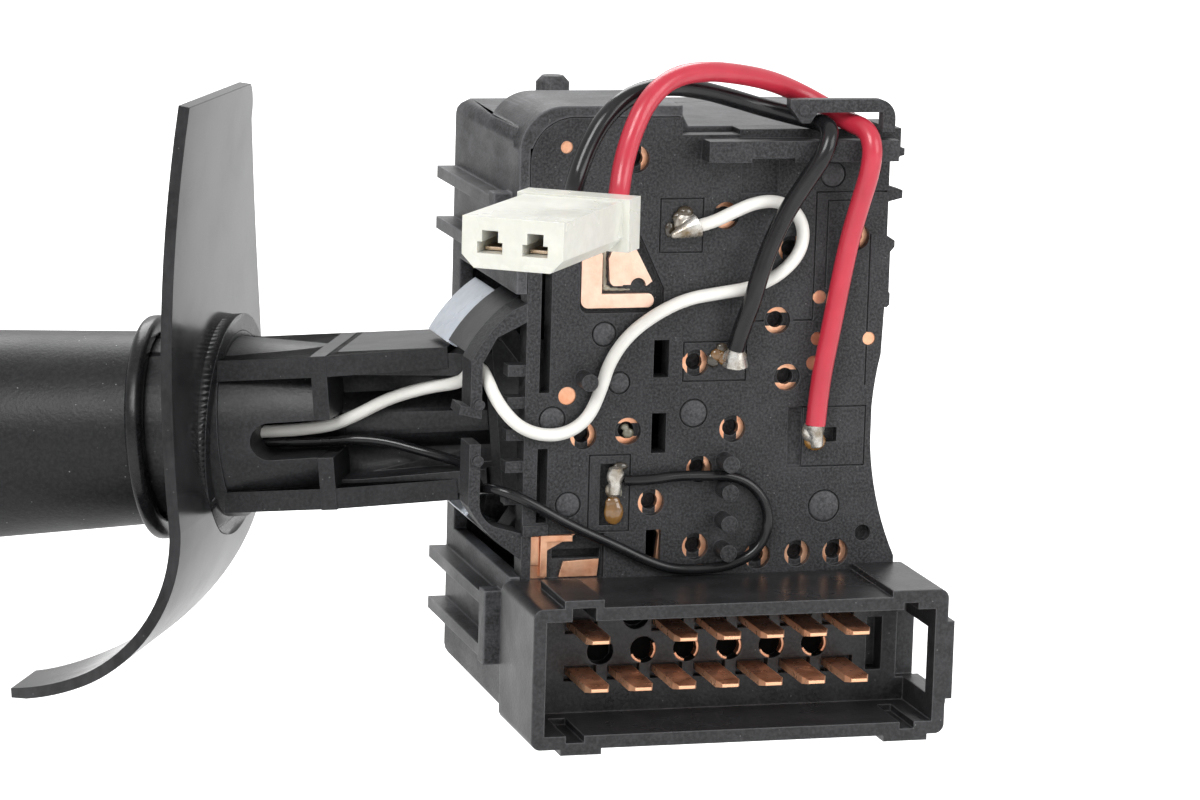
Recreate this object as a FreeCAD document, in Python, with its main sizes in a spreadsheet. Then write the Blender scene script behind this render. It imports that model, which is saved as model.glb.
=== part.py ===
import FreeCAD, Part
import math
import os
import Sketcher
from FreeCAD import Placement, Rotation, Vector

# Combination stalk switch for lights and indicators, seen from its connector side.
# Millimetres. X points right along the plate, Y away from the viewer towards the
# steering wheel, Z up. The origin lies on the indicator pivot at the casing's far face.

doc = FreeCAD.newDocument("StalkSwitch")
sheet = doc.addObject("Spreadsheet::Sheet", "Sizes")


class Size:
    """A named size, or a sum or product of them, with its formula and its value."""

    def __init__(self, text, value):
        self.text = text
        self.value = value

    def __add__(self, other):
        other = sized(other)
        return Size(f"({self.text} + {other.text})", self.value + other.value)

    def __sub__(self, other):
        other = sized(other)
        return Size(f"({self.text} - {other.text})", self.value - other.value)

    def __rsub__(self, other):
        return sized(other) - self

    def __mul__(self, other):
        other = sized(other)
        return Size(f"({self.text} * {other.text})", self.value * other.value)

    def __truediv__(self, other):
        other = sized(other)
        return Size(f"({self.text} / {other.text})", self.value / other.value)

    def __neg__(self):
        return Size(f"(0 - {self.text})", -self.value)

    __radd__ = __add__
    __rmul__ = __mul__


def sized(item):
    return item if isinstance(item, Size) else Size(f"{item}", float(item))


def size(alias, number):
    """Write one driving dimension into the sheet and return it."""
    row = size.row = size.row + 1
    sheet.set(f"A{row}", str(number))
    sheet.setAlias(f"A{row}", alias)
    return Size(f"Sizes.{alias}", float(number))


size.row = 0

# Casing and plate
bodyLeft = size("bodyLeft", -10.3)
bodyRight = size("bodyRight", 33.2)
bodyBottom = size("bodyBottom", -33)
bodyTop = size("bodyTop", 34.2)
bodyDepth = size("bodyDepth", 30)
wall = size("wall", 1.6)
rimWall = size("rimWall", 1.2)
plateThick = size("plateThick", 3)
seat = size("seat", 0.1)
raisedTop = size("raisedTop", 36.9)
raisedRight = size("raisedRight", 8.5)
raisedDepth = size("raisedDepth", 15)
cornerRound = size("cornerRound", 5)
windowTop = size("windowTop", 15.8)
windowBottom = size("windowBottom", -16.6)
finReach = size("finReach", 2.1)
finThick = size("finThick", 1.4)

# Connector
shroudLeft = size("shroudLeft", -11.2)
shroudRight = size("shroudRight", 37.2)
shroudTop = size("shroudTop", -17)
shroudReach = size("shroudReach", 14.5)
shroudWall = size("shroudWall", 1.5)
shroudCorner = size("shroudCorner", 1.1)
shroudStep = size("shroudStep", 0.75)
stepPlace = size("stepPlace", 30.5)
cavityDepth = size("cavityDepth", 10)
bladeWidth = size("bladeWidth", 2.8)
bladeThick = size("bladeThick", 0.8)
bladeReach = size("bladeReach", 8.3)
bladeTaper = size("bladeTaper", 0.45)
bladePitch = size("bladePitch", 5.08)
firstBlade = size("firstBlade", -3)
upperRow = size("upperRow", -21.4)
lowerRow = size("lowerRow", -26.9)

# Contact holes and tracks
holeRadius = size("holeRadius", 1.55)
holeDepth = size("holeDepth", 0.9)
trackThick = size("trackThick", 0.8)
trackWidth = size("trackWidth", 2.4)
trackBore = size("trackBore", 0.95)
boreDepth = size("boreDepth", 2.5)
bridgeGap = size("bridgeGap", 1.5)
bridgeLap = size("bridgeLap", 0.15)

# Pivots, carrier and stalk
stalkYaw = size("stalkYaw", 155)
stalkDroop = size("stalkDroop", 5.6)
stalkInset = size("stalkInset", 12.5)
stalkDepth = bodyDepth - stalkInset
trunnionRadius = size("trunnionRadius", 4)
runningGap = size("runningGap", 0.05)
carrierHalf = size("carrierHalf", 7)
carrierWall = size("carrierWall", 1.4)
carrierHeight = size("carrierHeight", 9.6)
eyeHeight = size("eyeHeight", 8)
eyeRadius = size("eyeRadius", 4.4)
pinRadius = size("pinRadius", 1.5)
flashOffset = size("flashOffset", 5)
shoulder = size("shoulder", 9.5)
neckDeep = size("neckDeep", 5.5)
neckInner = size("neckInner", 8)
neckWaist = size("neckWaist", 8.7)
waistPlace = size("waistPlace", 24)
neckSwell = size("neckSwell", 10.2)
swellPlace = size("swellPlace", 34)
neckOuter = size("neckOuter", 10.8)
neckEnd = size("neckEnd", 40)
pocketFloor = size("pocketFloor", 0.8)
shelfFloor = size("shelfFloor", 3.6)
crossRib = size("crossRib", 26.8)
crossRibThick = size("crossRibThick", 1.6)
wireSlotRadius = size("wireSlotRadius", 2)
wireSlotEnd = size("wireSlotEnd", 36)
wireSlotLevel = size("wireSlotLevel", -0.85)
ductRadius = size("ductRadius", 1.5)
ductDepth = size("ductDepth", 3.9)
ribThick = size("ribThick", 2.6)
spindleRadius = size("spindleRadius", 6)
rodRadius = size("rodRadius", 1.6)
driveRadius = size("driveRadius", 0.8)
rodStart = size("rodStart", 14)

# Shield, collar, flange and handle
shieldThick = size("shieldThick", 1.3)
shieldWidth = size("shieldWidth", 40)
shieldFar = size("shieldFar", 37.5)
shieldNearX = size("shieldNearX", -48.5)
shieldNearY = size("shieldNearY", -19.5)
shieldYaw = size("shieldYaw", -27)
collarRadius = size("collarRadius", 12.9)
collarLength = size("collarLength", 3.4)
shieldPlace = size("shieldPlace", 44)
collarSeat = size("collarSeat", 2.6)
flangeRadius = size("flangeRadius", 13.15)
flangeThick = size("flangeThick", 2)
gripStart = size("gripStart", 50)
gripEnd = size("gripEnd", 100)
spindleReach = size("spindleReach", 26)
spindleEnd = gripEnd + spindleReach
rodEnd = spindleEnd - 3
drivePlace = spindleEnd - 7
gripRootRadius = size("gripRootRadius", 11.3)
gripRadius = size("gripRadius", 12.4)
ringLength = size("ringLength", 10)
ringRadius = size("ringRadius", 12)
turnGap = size("turnGap", 0.4)
knobLength = size("knobLength", 44)
knobRadius = size("knobRadius", 11.8)
knobTipRadius = size("knobTipRadius", 10.8)
buttonRadius = size("buttonRadius", 8)
buttonTravel = size("buttonTravel", 2.5)
buttonProud = size("buttonProud", 3.5)

# Leads and plug
redRadius = size("redRadius", 1.15)
blackRadius = size("blackRadius", 1.05)
whiteRadius = size("whiteRadius", 0.74)
thinRadius = size("thinRadius", 0.6)
plugWidth = size("plugWidth", 11.2)
plugHeight = size("plugHeight", 5.4)
plugLength = size("plugLength", 22)
plugYaw = size("plugYaw", 235)

plateFace = -bodyDepth
plateBack = plateFace + plateThick
rimFace = plateFace - shroudReach


def bind(item, **formulas):
    for name, amount in formulas.items():
        item.setExpression(name.replace("_", "."), sized(amount).text)


def at(item, x, y, z):
    bind(item, Placement_Base_x=x, Placement_Base_y=y, Placement_Base_z=z)
    return item


def box(x, y, z, length, width, height):
    """A block by its lowest corner and its extent along X, Y and Z."""
    item = doc.addObject("Part::Box", "Block")
    bind(item, Length=length, Width=width, Height=height)
    return at(item, x, y, z)


def span(x, y, z):
    """A block between two values along each axis."""
    return box(x[0], y[0], z[0], x[1] - x[0], y[1] - y[0], z[1] - z[0])


TURNS = {
    "x": Rotation(Vector(0, 1, 0), 90),
    "y": Rotation(Vector(1, 0, 0), -90),
    "z": Rotation(),
}


def rod(axis, x, y, z, radius, length):
    """A round bar that starts at a point and runs along an axis."""
    item = doc.addObject("Part::Cylinder", "Bar")
    bind(item, Radius=radius, Height=length)
    item.Placement = Placement(Vector(), TURNS[axis])
    return at(item, x, y, z)


def cone(axis, x, y, z, radius, tip, length):
    item = doc.addObject("Part::Cone", "Taper")
    bind(item, Radius1=radius, Radius2=tip, Height=length)
    item.Placement = Placement(Vector(), TURNS[axis])
    return at(item, x, y, z)


def fuse(*items):
    if len(items) == 1:
        return items[0]
    item = doc.addObject("Part::MultiFuse", "Joined")
    item.Shapes = list(items)
    return item


def cut(base, *tools):
    item = doc.addObject("Part::Cut", "Trimmed")
    item.Base = base
    item.Tool = fuse(*tools)
    return item


def shared(*items):
    """What several forms have in common."""
    item = doc.addObject("Part::MultiCommon", "Shared")
    item.Shapes = list(items)
    return item


def group(*items):
    """Separate solids kept in one piece."""
    item = doc.addObject("Part::Compound", "Group")
    item.Links = list(items)
    return item


def inStalk(item):
    """The same form in the stalk's own frame."""
    item = group(item)
    item.setExpression("Placement", stalkFrame)
    return item


pieces = []


def piece(label, item, frame=None):
    """Name a finished piece and put it in the stalk's, plug's or row's frame."""
    if frame:
        item = group(item)
        item.setExpression("Placement", frame)
    item.Label = label
    pieces.append(item)
    return item


def plain(shape):
    item = doc.addObject("Part::Feature", "Form")
    item.Shape = shape
    return item


def frameText(x, y, z, yaw, pitch):
    place = "; ".join(sized(value).text for value in (x, y, z))
    turn = "; ".join(sized(value).text for value in (yaw, pitch, 0))
    return f"create(<<placement>>; create(<<vector>>; {place}); create(<<rotation>>; {turn}))"


stalkFrame = frameText(0, -stalkDepth, 0, stalkYaw, stalkDroop)
shieldFrame = frameText(shieldNearX, shieldNearY, 0, shieldYaw, 0)

PLANES = {"XY": "XY_Plane", "XZ": "XZ_Plane", "YZ": "YZ_Plane"}


def sketchOn(body, plane, points, offset=0):
    """A closed outline of straight runs whose corners are bound to named sizes.

    A corner may hold a third value: the radius of the arc that runs on to the next corner,
    negative where the arc bulges to the other side.
    """
    sketch = body.newObject("Sketcher::SketchObject", "Outline")
    origin = [part for part in body.Origin.OriginFeatures if part.Role == PLANES[plane]][0]
    sketch.AttachmentSupport = [(origin, "")]
    sketch.MapMode = "FlatFace"
    sketch.setExpression(".AttachmentOffset.Base.z", sized(offset).text)
    corners = [[sized(value) for value in point] for point in points]
    count = len(corners)
    for number, corner in enumerate(corners):
        follow = corners[(number + 1) % count]
        start = Vector(corner[0].value, corner[1].value, 0)
        end = Vector(follow[0].value, follow[1].value, 0)
        if len(corner) == 3:
            sketch.addGeometry(arcBetween(start, end, corner[2].value))
        else:
            sketch.addGeometry(Part.LineSegment(start, end))
    for number, corner in enumerate(corners):
        following = corners[(number + 1) % count]
        flipped = len(corner) == 3 and corner[2].value < 0
        nextFlipped = len(following) == 3 and following[2].value < 0
        endPoint = 1 if flipped else 2
        startPoint = 2 if nextFlipped else 1
        following = (number + 1) % count
        sketch.addConstraint(Sketcher.Constraint("Coincident", number, endPoint, following, startPoint))
    for number, corner in enumerate(corners):
        flipped = len(corner) == 3 and corner[2].value < 0
        point = 2 if flipped else 1
        for kind, amount in (("DistanceX", corner[0]), ("DistanceY", corner[1])):
            index = sketch.addConstraint(Sketcher.Constraint(kind, -1, 1, number, point, amount.value))
            sketch.setExpression(f"Constraints[{index}]", amount.text)
        if len(corner) == 3:
            radius = corner[2] if corner[2].value > 0 else -corner[2]
            index = sketch.addConstraint(Sketcher.Constraint("Radius", number, radius.value))
            sketch.setExpression(f"Constraints[{index}]", radius.text)
    return sketch


def arcBetween(start, end, radius):
    """The short arc from start to end, turning left for a positive radius."""
    middle = (start + end) * 0.5
    chord = end - start
    side = Vector(-chord.y, chord.x, 0).normalize()
    rise = math.sqrt(radius * radius - chord.Length * chord.Length / 4)
    centre = middle + side * (rise if radius > 0 else -rise)
    away = (middle - centre).normalize() * abs(radius)
    return Part.Arc(start, centre + away, end)


def pad(plane, points, offset, length):
    """A block with a drawn outline, raised from a plane by offset."""
    body = doc.addObject("PartDesign::Body", "Moulding")
    sketch = sketchOn(body, plane, points, offset)
    feature = body.newObject("PartDesign::Pad", "Pad")
    feature.Profile = sketch
    feature.setExpression("Length", sized(length).text)
    return body


def turned(points):
    """A piece of revolution about its own X axis."""
    body = doc.addObject("PartDesign::Body", "Turning")
    sketch = sketchOn(body, "XZ", points)
    feature = body.newObject("PartDesign::Revolution", "Revolution")
    feature.Profile = sketch
    feature.ReferenceAxis = (sketch, ["H_Axis"])
    feature.Angle = 360
    return body


# Contact plate
holes = [
    (3.2, 30.9), (13.9, 24.4), (21.8, 20.5), (29.5, 21.8), (20.4, 12.3), (21.8, 5.7),
    (10.9, 7.6), (15.5, -0.1), (3.1, -0.1), (-2.1, -0.5), (11.7, -4.7), (6.1, -8.4),
    (11.5, -13.7), (19.0, -15.0), (23.8, -14.9), (28.4, -14.9),
]
slots = [
    ((-7.4, -6.2), (4.5, 18.9)), ((-7.4, -6.2), (-10.4, -1.9)),
    ((5.9, 7.7), (6.0, 10.3)), ((5.9, 7.6), (-2.7, 1.9)), ((5.6, 7.4), (-15.6, -11.6)),
]
upright = [(13.9, 24.4), (20.4, 12.3), (21.8, 5.7), (3.1, -0.1)]
pegs = [(-2.3, 6.1), (14.6, -3.7), (14.6, -7.0), (14.6, -10.6), (14.6, -14.0)]
solderFields = [
    ((6.1, 11.3), (20.2, 26.5)), ((9.3, 16.9), (5.4, 10.1)), ((-1.4, 3.6), (-11.7, -2.7)),
    ((22.1, 31.5), (-4.8, 2.3)),
]
stakes = [
    (26.4, 29.0, 1.35), (0, 11.1, 1.27), (-5.8, 1.4, 1.4), (1.9, 5.5, 1.15), (10.8, 1.8, 1.5), (-3.7, -8.4, 1.33),
    (26.8, -9.4, 1.74),
]
copperDots = [
    (-4.9, 32.3, 0.73), (31.3, 29.4, 0.85), (-4.1, 4.1, 1.05), (25.4, 14.9, 0.8), (25.3, 10.1, 0.8),
    (24.9, 7.3, 0.85), (31.5, 10.0, 0.78),
]
seams = [
    ((17.5, 18.8), (12.2, 12.4)), ((22.3, 24.6), (12.2, 12.4)), ((24.5, 24.7), (12.3, 27.1)),
    ((24.5, 33), (26.9, 27.1)),
    ((31.1, 31.3), (4.6, 22.1)), ((25.9, 26.1), (16, 26.1)), ((25.9, 31), (25.9, 26.1)),
    ((19.7, 19.95), (26.9, 30.7)),
]
pegRadius = size("pegRadius", 0.98)
pegReach = size("pegReach", 3)
grooveWide = size("grooveWide", 0.2)
grooveDeep = size("grooveDeep", 0.3)
dotDepth = size("dotDepth", 0.2)
plateInset = bodyLeft + rimWall + seat
plateRise = raisedTop - rimWall - seat
ledgeReach = size("ledgeReach", 3)
curveRadius = size("curveRadius", 37)
combReach = size("combReach", 2)
combTop = size("combTop", 6.4)
combPitch = size("combPitch", 3.67)
contactDepth = size("contactDepth", 0.9)


def plateOutline():
    return [
        (plateInset, bodyBottom),
        (bodyRight + 2.3, bodyBottom),
        (bodyRight + 2.3, -15.5, -curveRadius),
        (bodyRight - 0.2, 8.2),
        (bodyRight, 13.5),
        (bodyRight, bodyTop),
        (15.2, bodyTop),
        (15.2, bodyTop - 0.6),
        (raisedRight, bodyTop - 0.6),
        (raisedRight, plateRise),
        (plateInset + cornerRound, plateRise, cornerRound),
        (plateInset, plateRise - cornerRound),
    ]


def bridge(x, z, low):
    """Plastic that runs across a contact hole and leaves two crescents of copper bare."""
    thick = trackThick.value
    reach = (holeRadius + bridgeLap).value
    half = bridgeGap.value / 2
    disc = Part.makeCylinder(reach, thick, Vector(x, low, z), Vector(0, 1, 0))
    if (x, z) in upright:
        return disc.common(Part.makeBox(reach * 2, thick, half * 2, Vector(x - reach, low, z - half)))
    return disc.common(Part.makeBox(half * 2, thick, reach * 2, Vector(x - half, low, z - reach)))


def trackForm():
    """Copper tracks: a ring behind each contact hole and bars that join them."""
    low = plateFace.value + holeDepth.value
    thick = trackThick.value
    width = trackWidth.value
    column = [firstBlade.value + bladePitch.value * number for number in range(7)]
    foot = lowerRow.value
    routes = [
        [holes[3], (30.6, 14), (31.2, 3), (28.4, -14.9), (column[6], foot)],
        [holes[2], holes[4], (23.2, 5.7), (23.2, -9), holes[14], (column[5], foot)],
        [holes[1], holes[6], holes[10], holes[12], (column[3], foot)],
        [holes[7], (17.6, -6), holes[13], (column[4], foot)],
        [holes[8], holes[11], (8.6, -12), (column[2], foot)],
        [holes[9], (-3.4, -6), (-3.4, -11.2), (-7.1, -13.2), (-7.1, -17.5), (column[0], foot)],
    ]
    tracks = []
    for route in routes:
        form = None
        for start, end in zip(route, route[1:]):
            run = math.hypot(end[0] - start[0], end[1] - start[1])
            bar = Part.makeBox(run, thick, width, Vector(0, 0, -width / 2))
            turn = Rotation(Vector(0, 1, 0), -math.degrees(math.atan2(end[1] - start[1], end[0] - start[0])))
            bar.Placement = Placement(Vector(start[0], low, start[1]), turn)
            knee = Part.makeCylinder(width / 2, thick, Vector(end[0], low, end[1]), Vector(0, 1, 0))
            form = bar.fuse(knee) if form is None else form.fuse([bar, knee])
        tracks.append(form)
    discs = []
    for hole in holes:
        disc = Part.makeCylinder(holeRadius.value + 0.35, thick, Vector(hole[0], low, hole[1]), Vector(0, 1, 0))
        discs.append(disc)
    for x, z, radius in copperDots:
        start = Vector(x, plateFace.value + dotDepth.value, z)
        discs.append(Part.makeCylinder(radius, holeDepth.value - dotDepth.value + thick, start, Vector(0, 1, 0)))
    for disc in discs:
        touching = [number for number, form in enumerate(tracks) if form.distToShape(disc)[0] < 0.01]
        if touching:
            tracks[touching[0]] = tracks[touching[0]].fuse(disc)
        else:
            tracks.append(disc)
    along = Vector(0, 1, 0)
    takes = [Part.makeCylinder(trackBore.value, thick * 3, Vector(x, low - thick, z), along) for x, z in holes]
    takes += [bridge(x, z, low) for x, z in holes]
    return [form.cut(takes).removeSplitter() for form in tracks]


leadFrame = piece("lead_frame", plain(Part.makeCompound(trackForm())))


def bladePlaces():
    """Middle and height of every blade; the second place of the upper row is empty."""
    every = [(number, row) for row in (upperRow, lowerRow) for number in range(7)]
    return [(firstBlade + bladePitch * number, row) for number, row in every if row is lowerRow or number != 1]


def bladeSpace(middle, row, front, back):
    return box(middle - bladeWidth / 2, front, row - bladeThick / 2, bladeWidth, back - front, bladeThick)


def fieldGroove(x, z):
    """Thin groove round a rectangular field of the plate."""
    depth = (plateFace - 1, plateFace + grooveDeep)
    inner = [(low + grooveWide, high - grooveWide) for low, high in (x, z)]
    return cut(span(x, depth, z), span(inner[0], (plateFace - 2, plateFace + 1), inner[1]))


def stakeGroove(x, z, radius):
    """Thin ring groove round a melted stake."""
    reach = grooveDeep + 1
    return cut(
        rod("y", x, plateFace - 1, z, sized(radius) + grooveWide, reach),
        rod("y", x, plateFace - 2, z, radius, reach + 2),
    )


def rightEdge():
    """Foot, rail, tab and block along the plate's right edge, as one outline."""
    steps = [
        (-1, 13.6), (0.3, 13.6), (0.6, 13.9), (0.6, 15.2), (0.45, 15.4), (0.45, 20), (0.95, 20.6), (0.95, 21.3),
        (0, 21.9), (0, 25.8), (1.65, 26.2), (1.65, 27.1), (0, 27.6), (0, 30.6), (0.8, 30.6), (1.2, 31),
        (1.7, 31.1), (1.7, 31.9),
        (1.2, 32), (1.2, 34.2), (-1, 34.2),
    ]
    return [(bodyRight + reach, height) for reach, height in steps]


def contactPlate():
    base = pad("XZ", plateOutline(), bodyDepth - plateThick, plateThick)
    adds = [
        pad("XZ", rightEdge(), bodyDepth - plateThick + 0.8, plateThick - 0.8),
        span((10.8, bodyRight), (plateFace - ledgeReach, plateFace + 0.5), (30.8, 33.2)),
        cut(
            rod("y", 0, plateBack - 0.5, 0, trunnionRadius + wall, 1.6),
            rod("y", 0, plateBack - 1, 0, trunnionRadius + runningGap, 3),
        ),
    ]
    adds += [rod("y", x, plateFace - pegReach, z, pegRadius, pegReach + 0.5) for x, z in pegs]
    for step in range(5):
        adds.append(box(plateInset - combReach, plateFace + 0.3, combTop - combPitch * step, combReach + 0.5, 2, 1.3))
    adds += [span((plateInset, plateInset + 2.9), (plateFace - 0.5, plateBack - 1), (-11.9, -10.6))]
    takes = [rod("y", x, plateFace - 0.2, z, holeRadius, holeDepth + 0.2) for x, z in holes]
    takes += [span(x, (plateFace - 1, plateBack + 1), z) for x, z in slots]
    takes += [rod("y", x, plateFace + 0.5, z, trackBore, boreDepth - 0.5) for x, z in holes]
    takes += [fieldGroove(x, z) for x, z in solderFields]
    takes += [stakeGroove(x, z, radius) for x, z, radius in stakes]
    takes += [rod("y", x, plateFace - 0.2, z, radius, dotDepth + 0.2) for x, z, radius in copperDots]
    takes += [rod("y", 31.6, plateFace - 0.2, -12.7, 0.95, 1.4)]
    takes += [span(x, (plateFace - 1, plateFace + grooveDeep), z) for x, z in seams]
    takes += [span((15.8, 20.9), (plateFace - ledgeReach - 1, plateFace), (30.3, 31.25))]
    takes += [span((15.6, 19.7), (plateFace - 1, plateFace + grooveDeep), (26.9, 31))]
    takes += [span((26.5, 28), (plateFace - 1, plateFace + 1.2), (-1.9, -0.2))]
    takes += [span((22.3, 23.9), (plateFace - 1, plateFace + 0.5), (-4.6, 2.1))]
    takes += [span((0, 1.9), (plateFace - 1, plateFace + holeDepth), (-10.9, -3.8))]
    takes += [span((-7.9, 0.7), (plateFace - 1, plateFace + contactDepth), (-17, -11.8))]
    takes += [span((-5.2, 0.4), (plateFace, plateFace + boreDepth), (-14.8, -13.7))]
    takes += [bladeSpace(middle, row, plateFace - 0.5, plateFace + holeDepth) for middle, row in bladePlaces()]
    takes += [padFace()]
    return cut(cut(fuse(base, *adds), *takes), leadFrame)


def padFace(depth=0.9):
    """Recess round the large bare copper pad."""
    outline = [
        (-2.95, 14.5, 1), (-1.95, 13.5), (5.5, 13.5, 1.4), (6.9, 14.9), (6.9, 16.2), (3.3, 23.7), (-2.95, 23.7),
    ]
    return pad("XZ", outline, bodyDepth - depth, depth + 1)


piece("contact_plate", contactPlate())


def copperPad():
    """Large bare pad: an L-shaped strip and the tongue that its groove leaves free."""
    strip = [
        (-2.75, 14.9, 0.9), (-1.85, 14), (5.1, 14, 0.82), (5.1, 15.62), (-0.33, 15.62), (-0.33, 20), (-0.7, 21.2),
        (-0.7, 23.4), (-2.75, 23.4),
    ]
    tongue = [
        (1.05, 16.5), (4.9, 16.5), (5.55, 17), (2.1, 23.4), (1.05, 23.4), (1.05, 21.2), (0.4, 19.6), (0.55, 17.3, 0.9),
    ]
    hole = rod("y", 3.9, plateFace - 1, 16.5, 0.9, plateThick)
    slit = span((2.1, 3.9), (plateFace - 1, plateBack), (16.3, 16.62))
    takes = [hole, slit]
    forms = [pad("XZ", outline, bodyDepth - 0.9, trackThick - 0.2) for outline in (strip, tongue)]
    return group(forms[0], cut(forms[1], *takes))


piece("copper_pad", copperPad())


def lowerContact():
    """Bare end of a track in the window over the connector: an angle, a side strip and a tongue."""
    angle = [(-6.7, -16.7), (-5.95, -16.7), (-5.95, -12.7), (-3, -12.7), (-3, -11.95), (-6.7, -11.95)]
    tongue = [(-4.4, -16.9), (0.1, -16.9), (0.3, -14.9), (-3.9, -15.1)]
    return group(
        pad("XZ", angle, bodyDepth - contactDepth, contactDepth - 0.15),
        pad("XZ", tongue, bodyDepth - contactDepth, 0.3),
        span((-7.8, -6.8), (plateFace + 0.5, plateFace + contactDepth), (-15.4, -12.1)),
    )


piece("lower_contact", lowerContact())


# Front casing
bossRadius = size("bossRadius", 1.95)


def frontCasing():
    outer = [
        (bodyLeft, bodyBottom),
        (bodyRight, bodyBottom),
        (bodyRight, bodyTop),
        (bodyLeft, bodyTop),
    ]
    shell = pad("XZ", outer, 0, bodyDepth - plateThick)
    raised = [
        (bodyLeft, bodyBottom),
        (bodyLeft + rimWall, bodyBottom),
        (bodyLeft + rimWall, bodyTop - 2),
        (raisedRight + 1.5, bodyTop - 2),
        (raisedRight + 1.5, bodyTop),
        (raisedRight, raisedTop),
        (bodyLeft + cornerRound, raisedTop, cornerRound),
        (bodyLeft, raisedTop - cornerRound),
    ]
    hood = pad("XZ", raised, raisedDepth, bodyDepth - raisedDepth)
    boss = rod("z", -1.1, -9, bodyTop - 1, bossRadius, 4)
    tip = cone("z", -1.1, -9, bodyTop + 3, bossRadius, bossRadius - 0.7, 0.75)
    fins = []
    for z in (-20, -26.2, 25.6, 19.6):
        fins.append(span((bodyLeft - finReach, bodyLeft + 1), (-25, 0), (z - finThick / 2, z + finThick / 2)))
    posts = [span((bodyLeft - finReach, bodyLeft + 1), (-27, -24.6), z) for z in ((-27.4, -18.8), (18.4, 26.8))]
    cavity = span((bodyLeft + wall, bodyRight - wall), (-bodyDepth - 1, -wall), (bodyBottom + wall, bodyTop - wall))
    mouth = pad("XZ", [
        (plateInset - seat, bodyBottom - 5),
        (bodyRight + 5, bodyBottom - 5),
        (bodyRight + 5, bodyTop + 5),
        (raisedRight - seat, bodyTop + 5),
        (raisedRight - seat, plateRise + seat),
        (plateInset + cornerRound, plateRise + seat, cornerRound + seat),
        (plateInset - seat, plateRise - cornerRound),
    ], bodyDepth - plateThick, plateThick + 1)
    upperCavity = span((bodyLeft + wall + 3, raisedRight - wall), (-bodyDepth - 1, -raisedDepth - wall), (30, plateRise - 2))
    window = span((bodyLeft - 3, bodyLeft + wall + 1), (-bodyDepth - 1, -3.5), (windowBottom, windowTop))
    bearing = rod("y", 0, -wall - 3, 0, trunnionRadius + wall, 3.5)
    bore = rod("y", 0, -wall - 4, 0, trunnionRadius + runningGap, wall + 3.2)
    gap = span((bodyRight - wall - 1, bodyRight + 1), (-9, -4), (-6.5, 6.5))
    hollow = cut(fuse(shell, hood, boss, tip, *fins, *posts), cavity, mouth, upperCavity, window)
    return cut(fuse(hollow, bearing), bore, gap)


piece("front_casing", frontCasing())


# Connector shroud and blades
latchWindow = ((-42, -33.2), (-28.8, -21.1))
rowHoleShift = size("rowHoleShift", 2.3)


def connectorShroud():
    corner = shroudCorner
    stepTop = shroudTop + shroudStep
    block = pad("XZ", [
        (shroudLeft + corner, bodyBottom),
        (shroudRight - corner, bodyBottom, corner),
        (shroudRight, bodyBottom + corner),
        (shroudRight, stepTop - corner, corner),
        (shroudRight - corner, stepTop),
        (stepPlace, stepTop),
        (stepPlace, shroudTop),
        (shroudLeft + corner, shroudTop, corner),
        (shroudLeft, shroudTop - corner),
        (shroudLeft, bodyBottom + corner, corner),
    ], bodyDepth, shroudReach)
    bump = span((shroudRight - 1, shroudRight + 0.8), (rimFace, rimFace + 2.5), (-29, -20))
    depth = (rimFace, rimFace + 6)
    feet = [span(x, depth, (bodyBottom - 0.7, bodyBottom + 0.5)) for x in ((-7.8, -3.1), (30, 35.2))]
    feet.append(span((shroudRight - 0.5, shroudRight + 0.8), (rimFace + 2, -33), (-30, -28.9)))
    key = span((-7.7, -3.2), (rimFace, plateFace - 4), (shroudTop - 0.5, shroudTop + 0.9))
    cavity = span(
        (shroudLeft + shroudWall, shroudRight - shroudWall),
        (rimFace - 1, rimFace + cavityDepth),
        (bodyBottom + shroudWall, shroudTop - shroudWall),
    )
    keyway = span((-6.8, -4.1), (rimFace - 1, rimFace + 8), (shroudTop - shroudWall - 0.5, shroudTop))
    notches = [span((-7.2, -5.1), (rimFace - 1, rimFace + 8), (bodyBottom + 0.7, bodyBottom + shroudWall + 0.5))]
    for low in (shroudTop - shroudWall - 0.5, bodyBottom + 0.7):
        notches.append(span((31.9, 33.6), (rimFace - 1, rimFace + 8), (low, low + 1.3)))
    side = span((shroudRight - shroudWall - 1, shroudRight + 2), *latchWindow)
    floorSlot = span((31, 32.85), (rimFace + cavityDepth - 1, rimFace + cavityDepth + 2.5), (-27.8, -21.6))
    spare = rod("y", firstBlade + bladePitch + 1.3, rimFace + cavityDepth - 1, upperRow + 1, 1.6, 2.6)
    takes = [cavity, keyway, *notches, side, floorSlot, spare]
    for middle, row in bladePlaces():
        takes.append(bladeSpace(middle, row, rimFace + cavityDepth - 1, plateFace + 1))
        takes.append(box(middle - 1.9, rimFace + cavityDepth - 1, row - 0.9, 3.8, 2.2, 1.8))
    for number in range(6):
        middle = firstBlade + bladePitch * number + rowHoleShift
        takes.append(rod("y", middle, rimFace + cavityDepth - 1, (upperRow + lowerRow) / 2 - 0.3, 1.55, 2.6))
    return cut(fuse(block, bump, *feet, key), *takes)


def blade(middle, row):
    """One flat blade with its tip narrowed on both sides."""
    half = bladeWidth / 2
    tip = rimFace + cavityDepth - bladeReach
    root = plateFace + holeDepth
    outline = [
        (middle - half, root),
        (middle - half, tip + 1.2),
        (middle - half + bladeTaper, tip),
        (middle + half - bladeTaper, tip),
        (middle + half, tip + 1.2),
        (middle + half, root),
    ]
    return pad("XY", outline, row - bladeThick / 2, bladeThick)


piece("connector_shroud", connectorShroud())
piece("upper_blades", group(*[blade(middle, row) for middle, row in bladePlaces() if row is upperRow]))
piece("lower_blades", group(*[blade(middle, row) for middle, row in bladePlaces() if row is lowerRow]))


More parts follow.
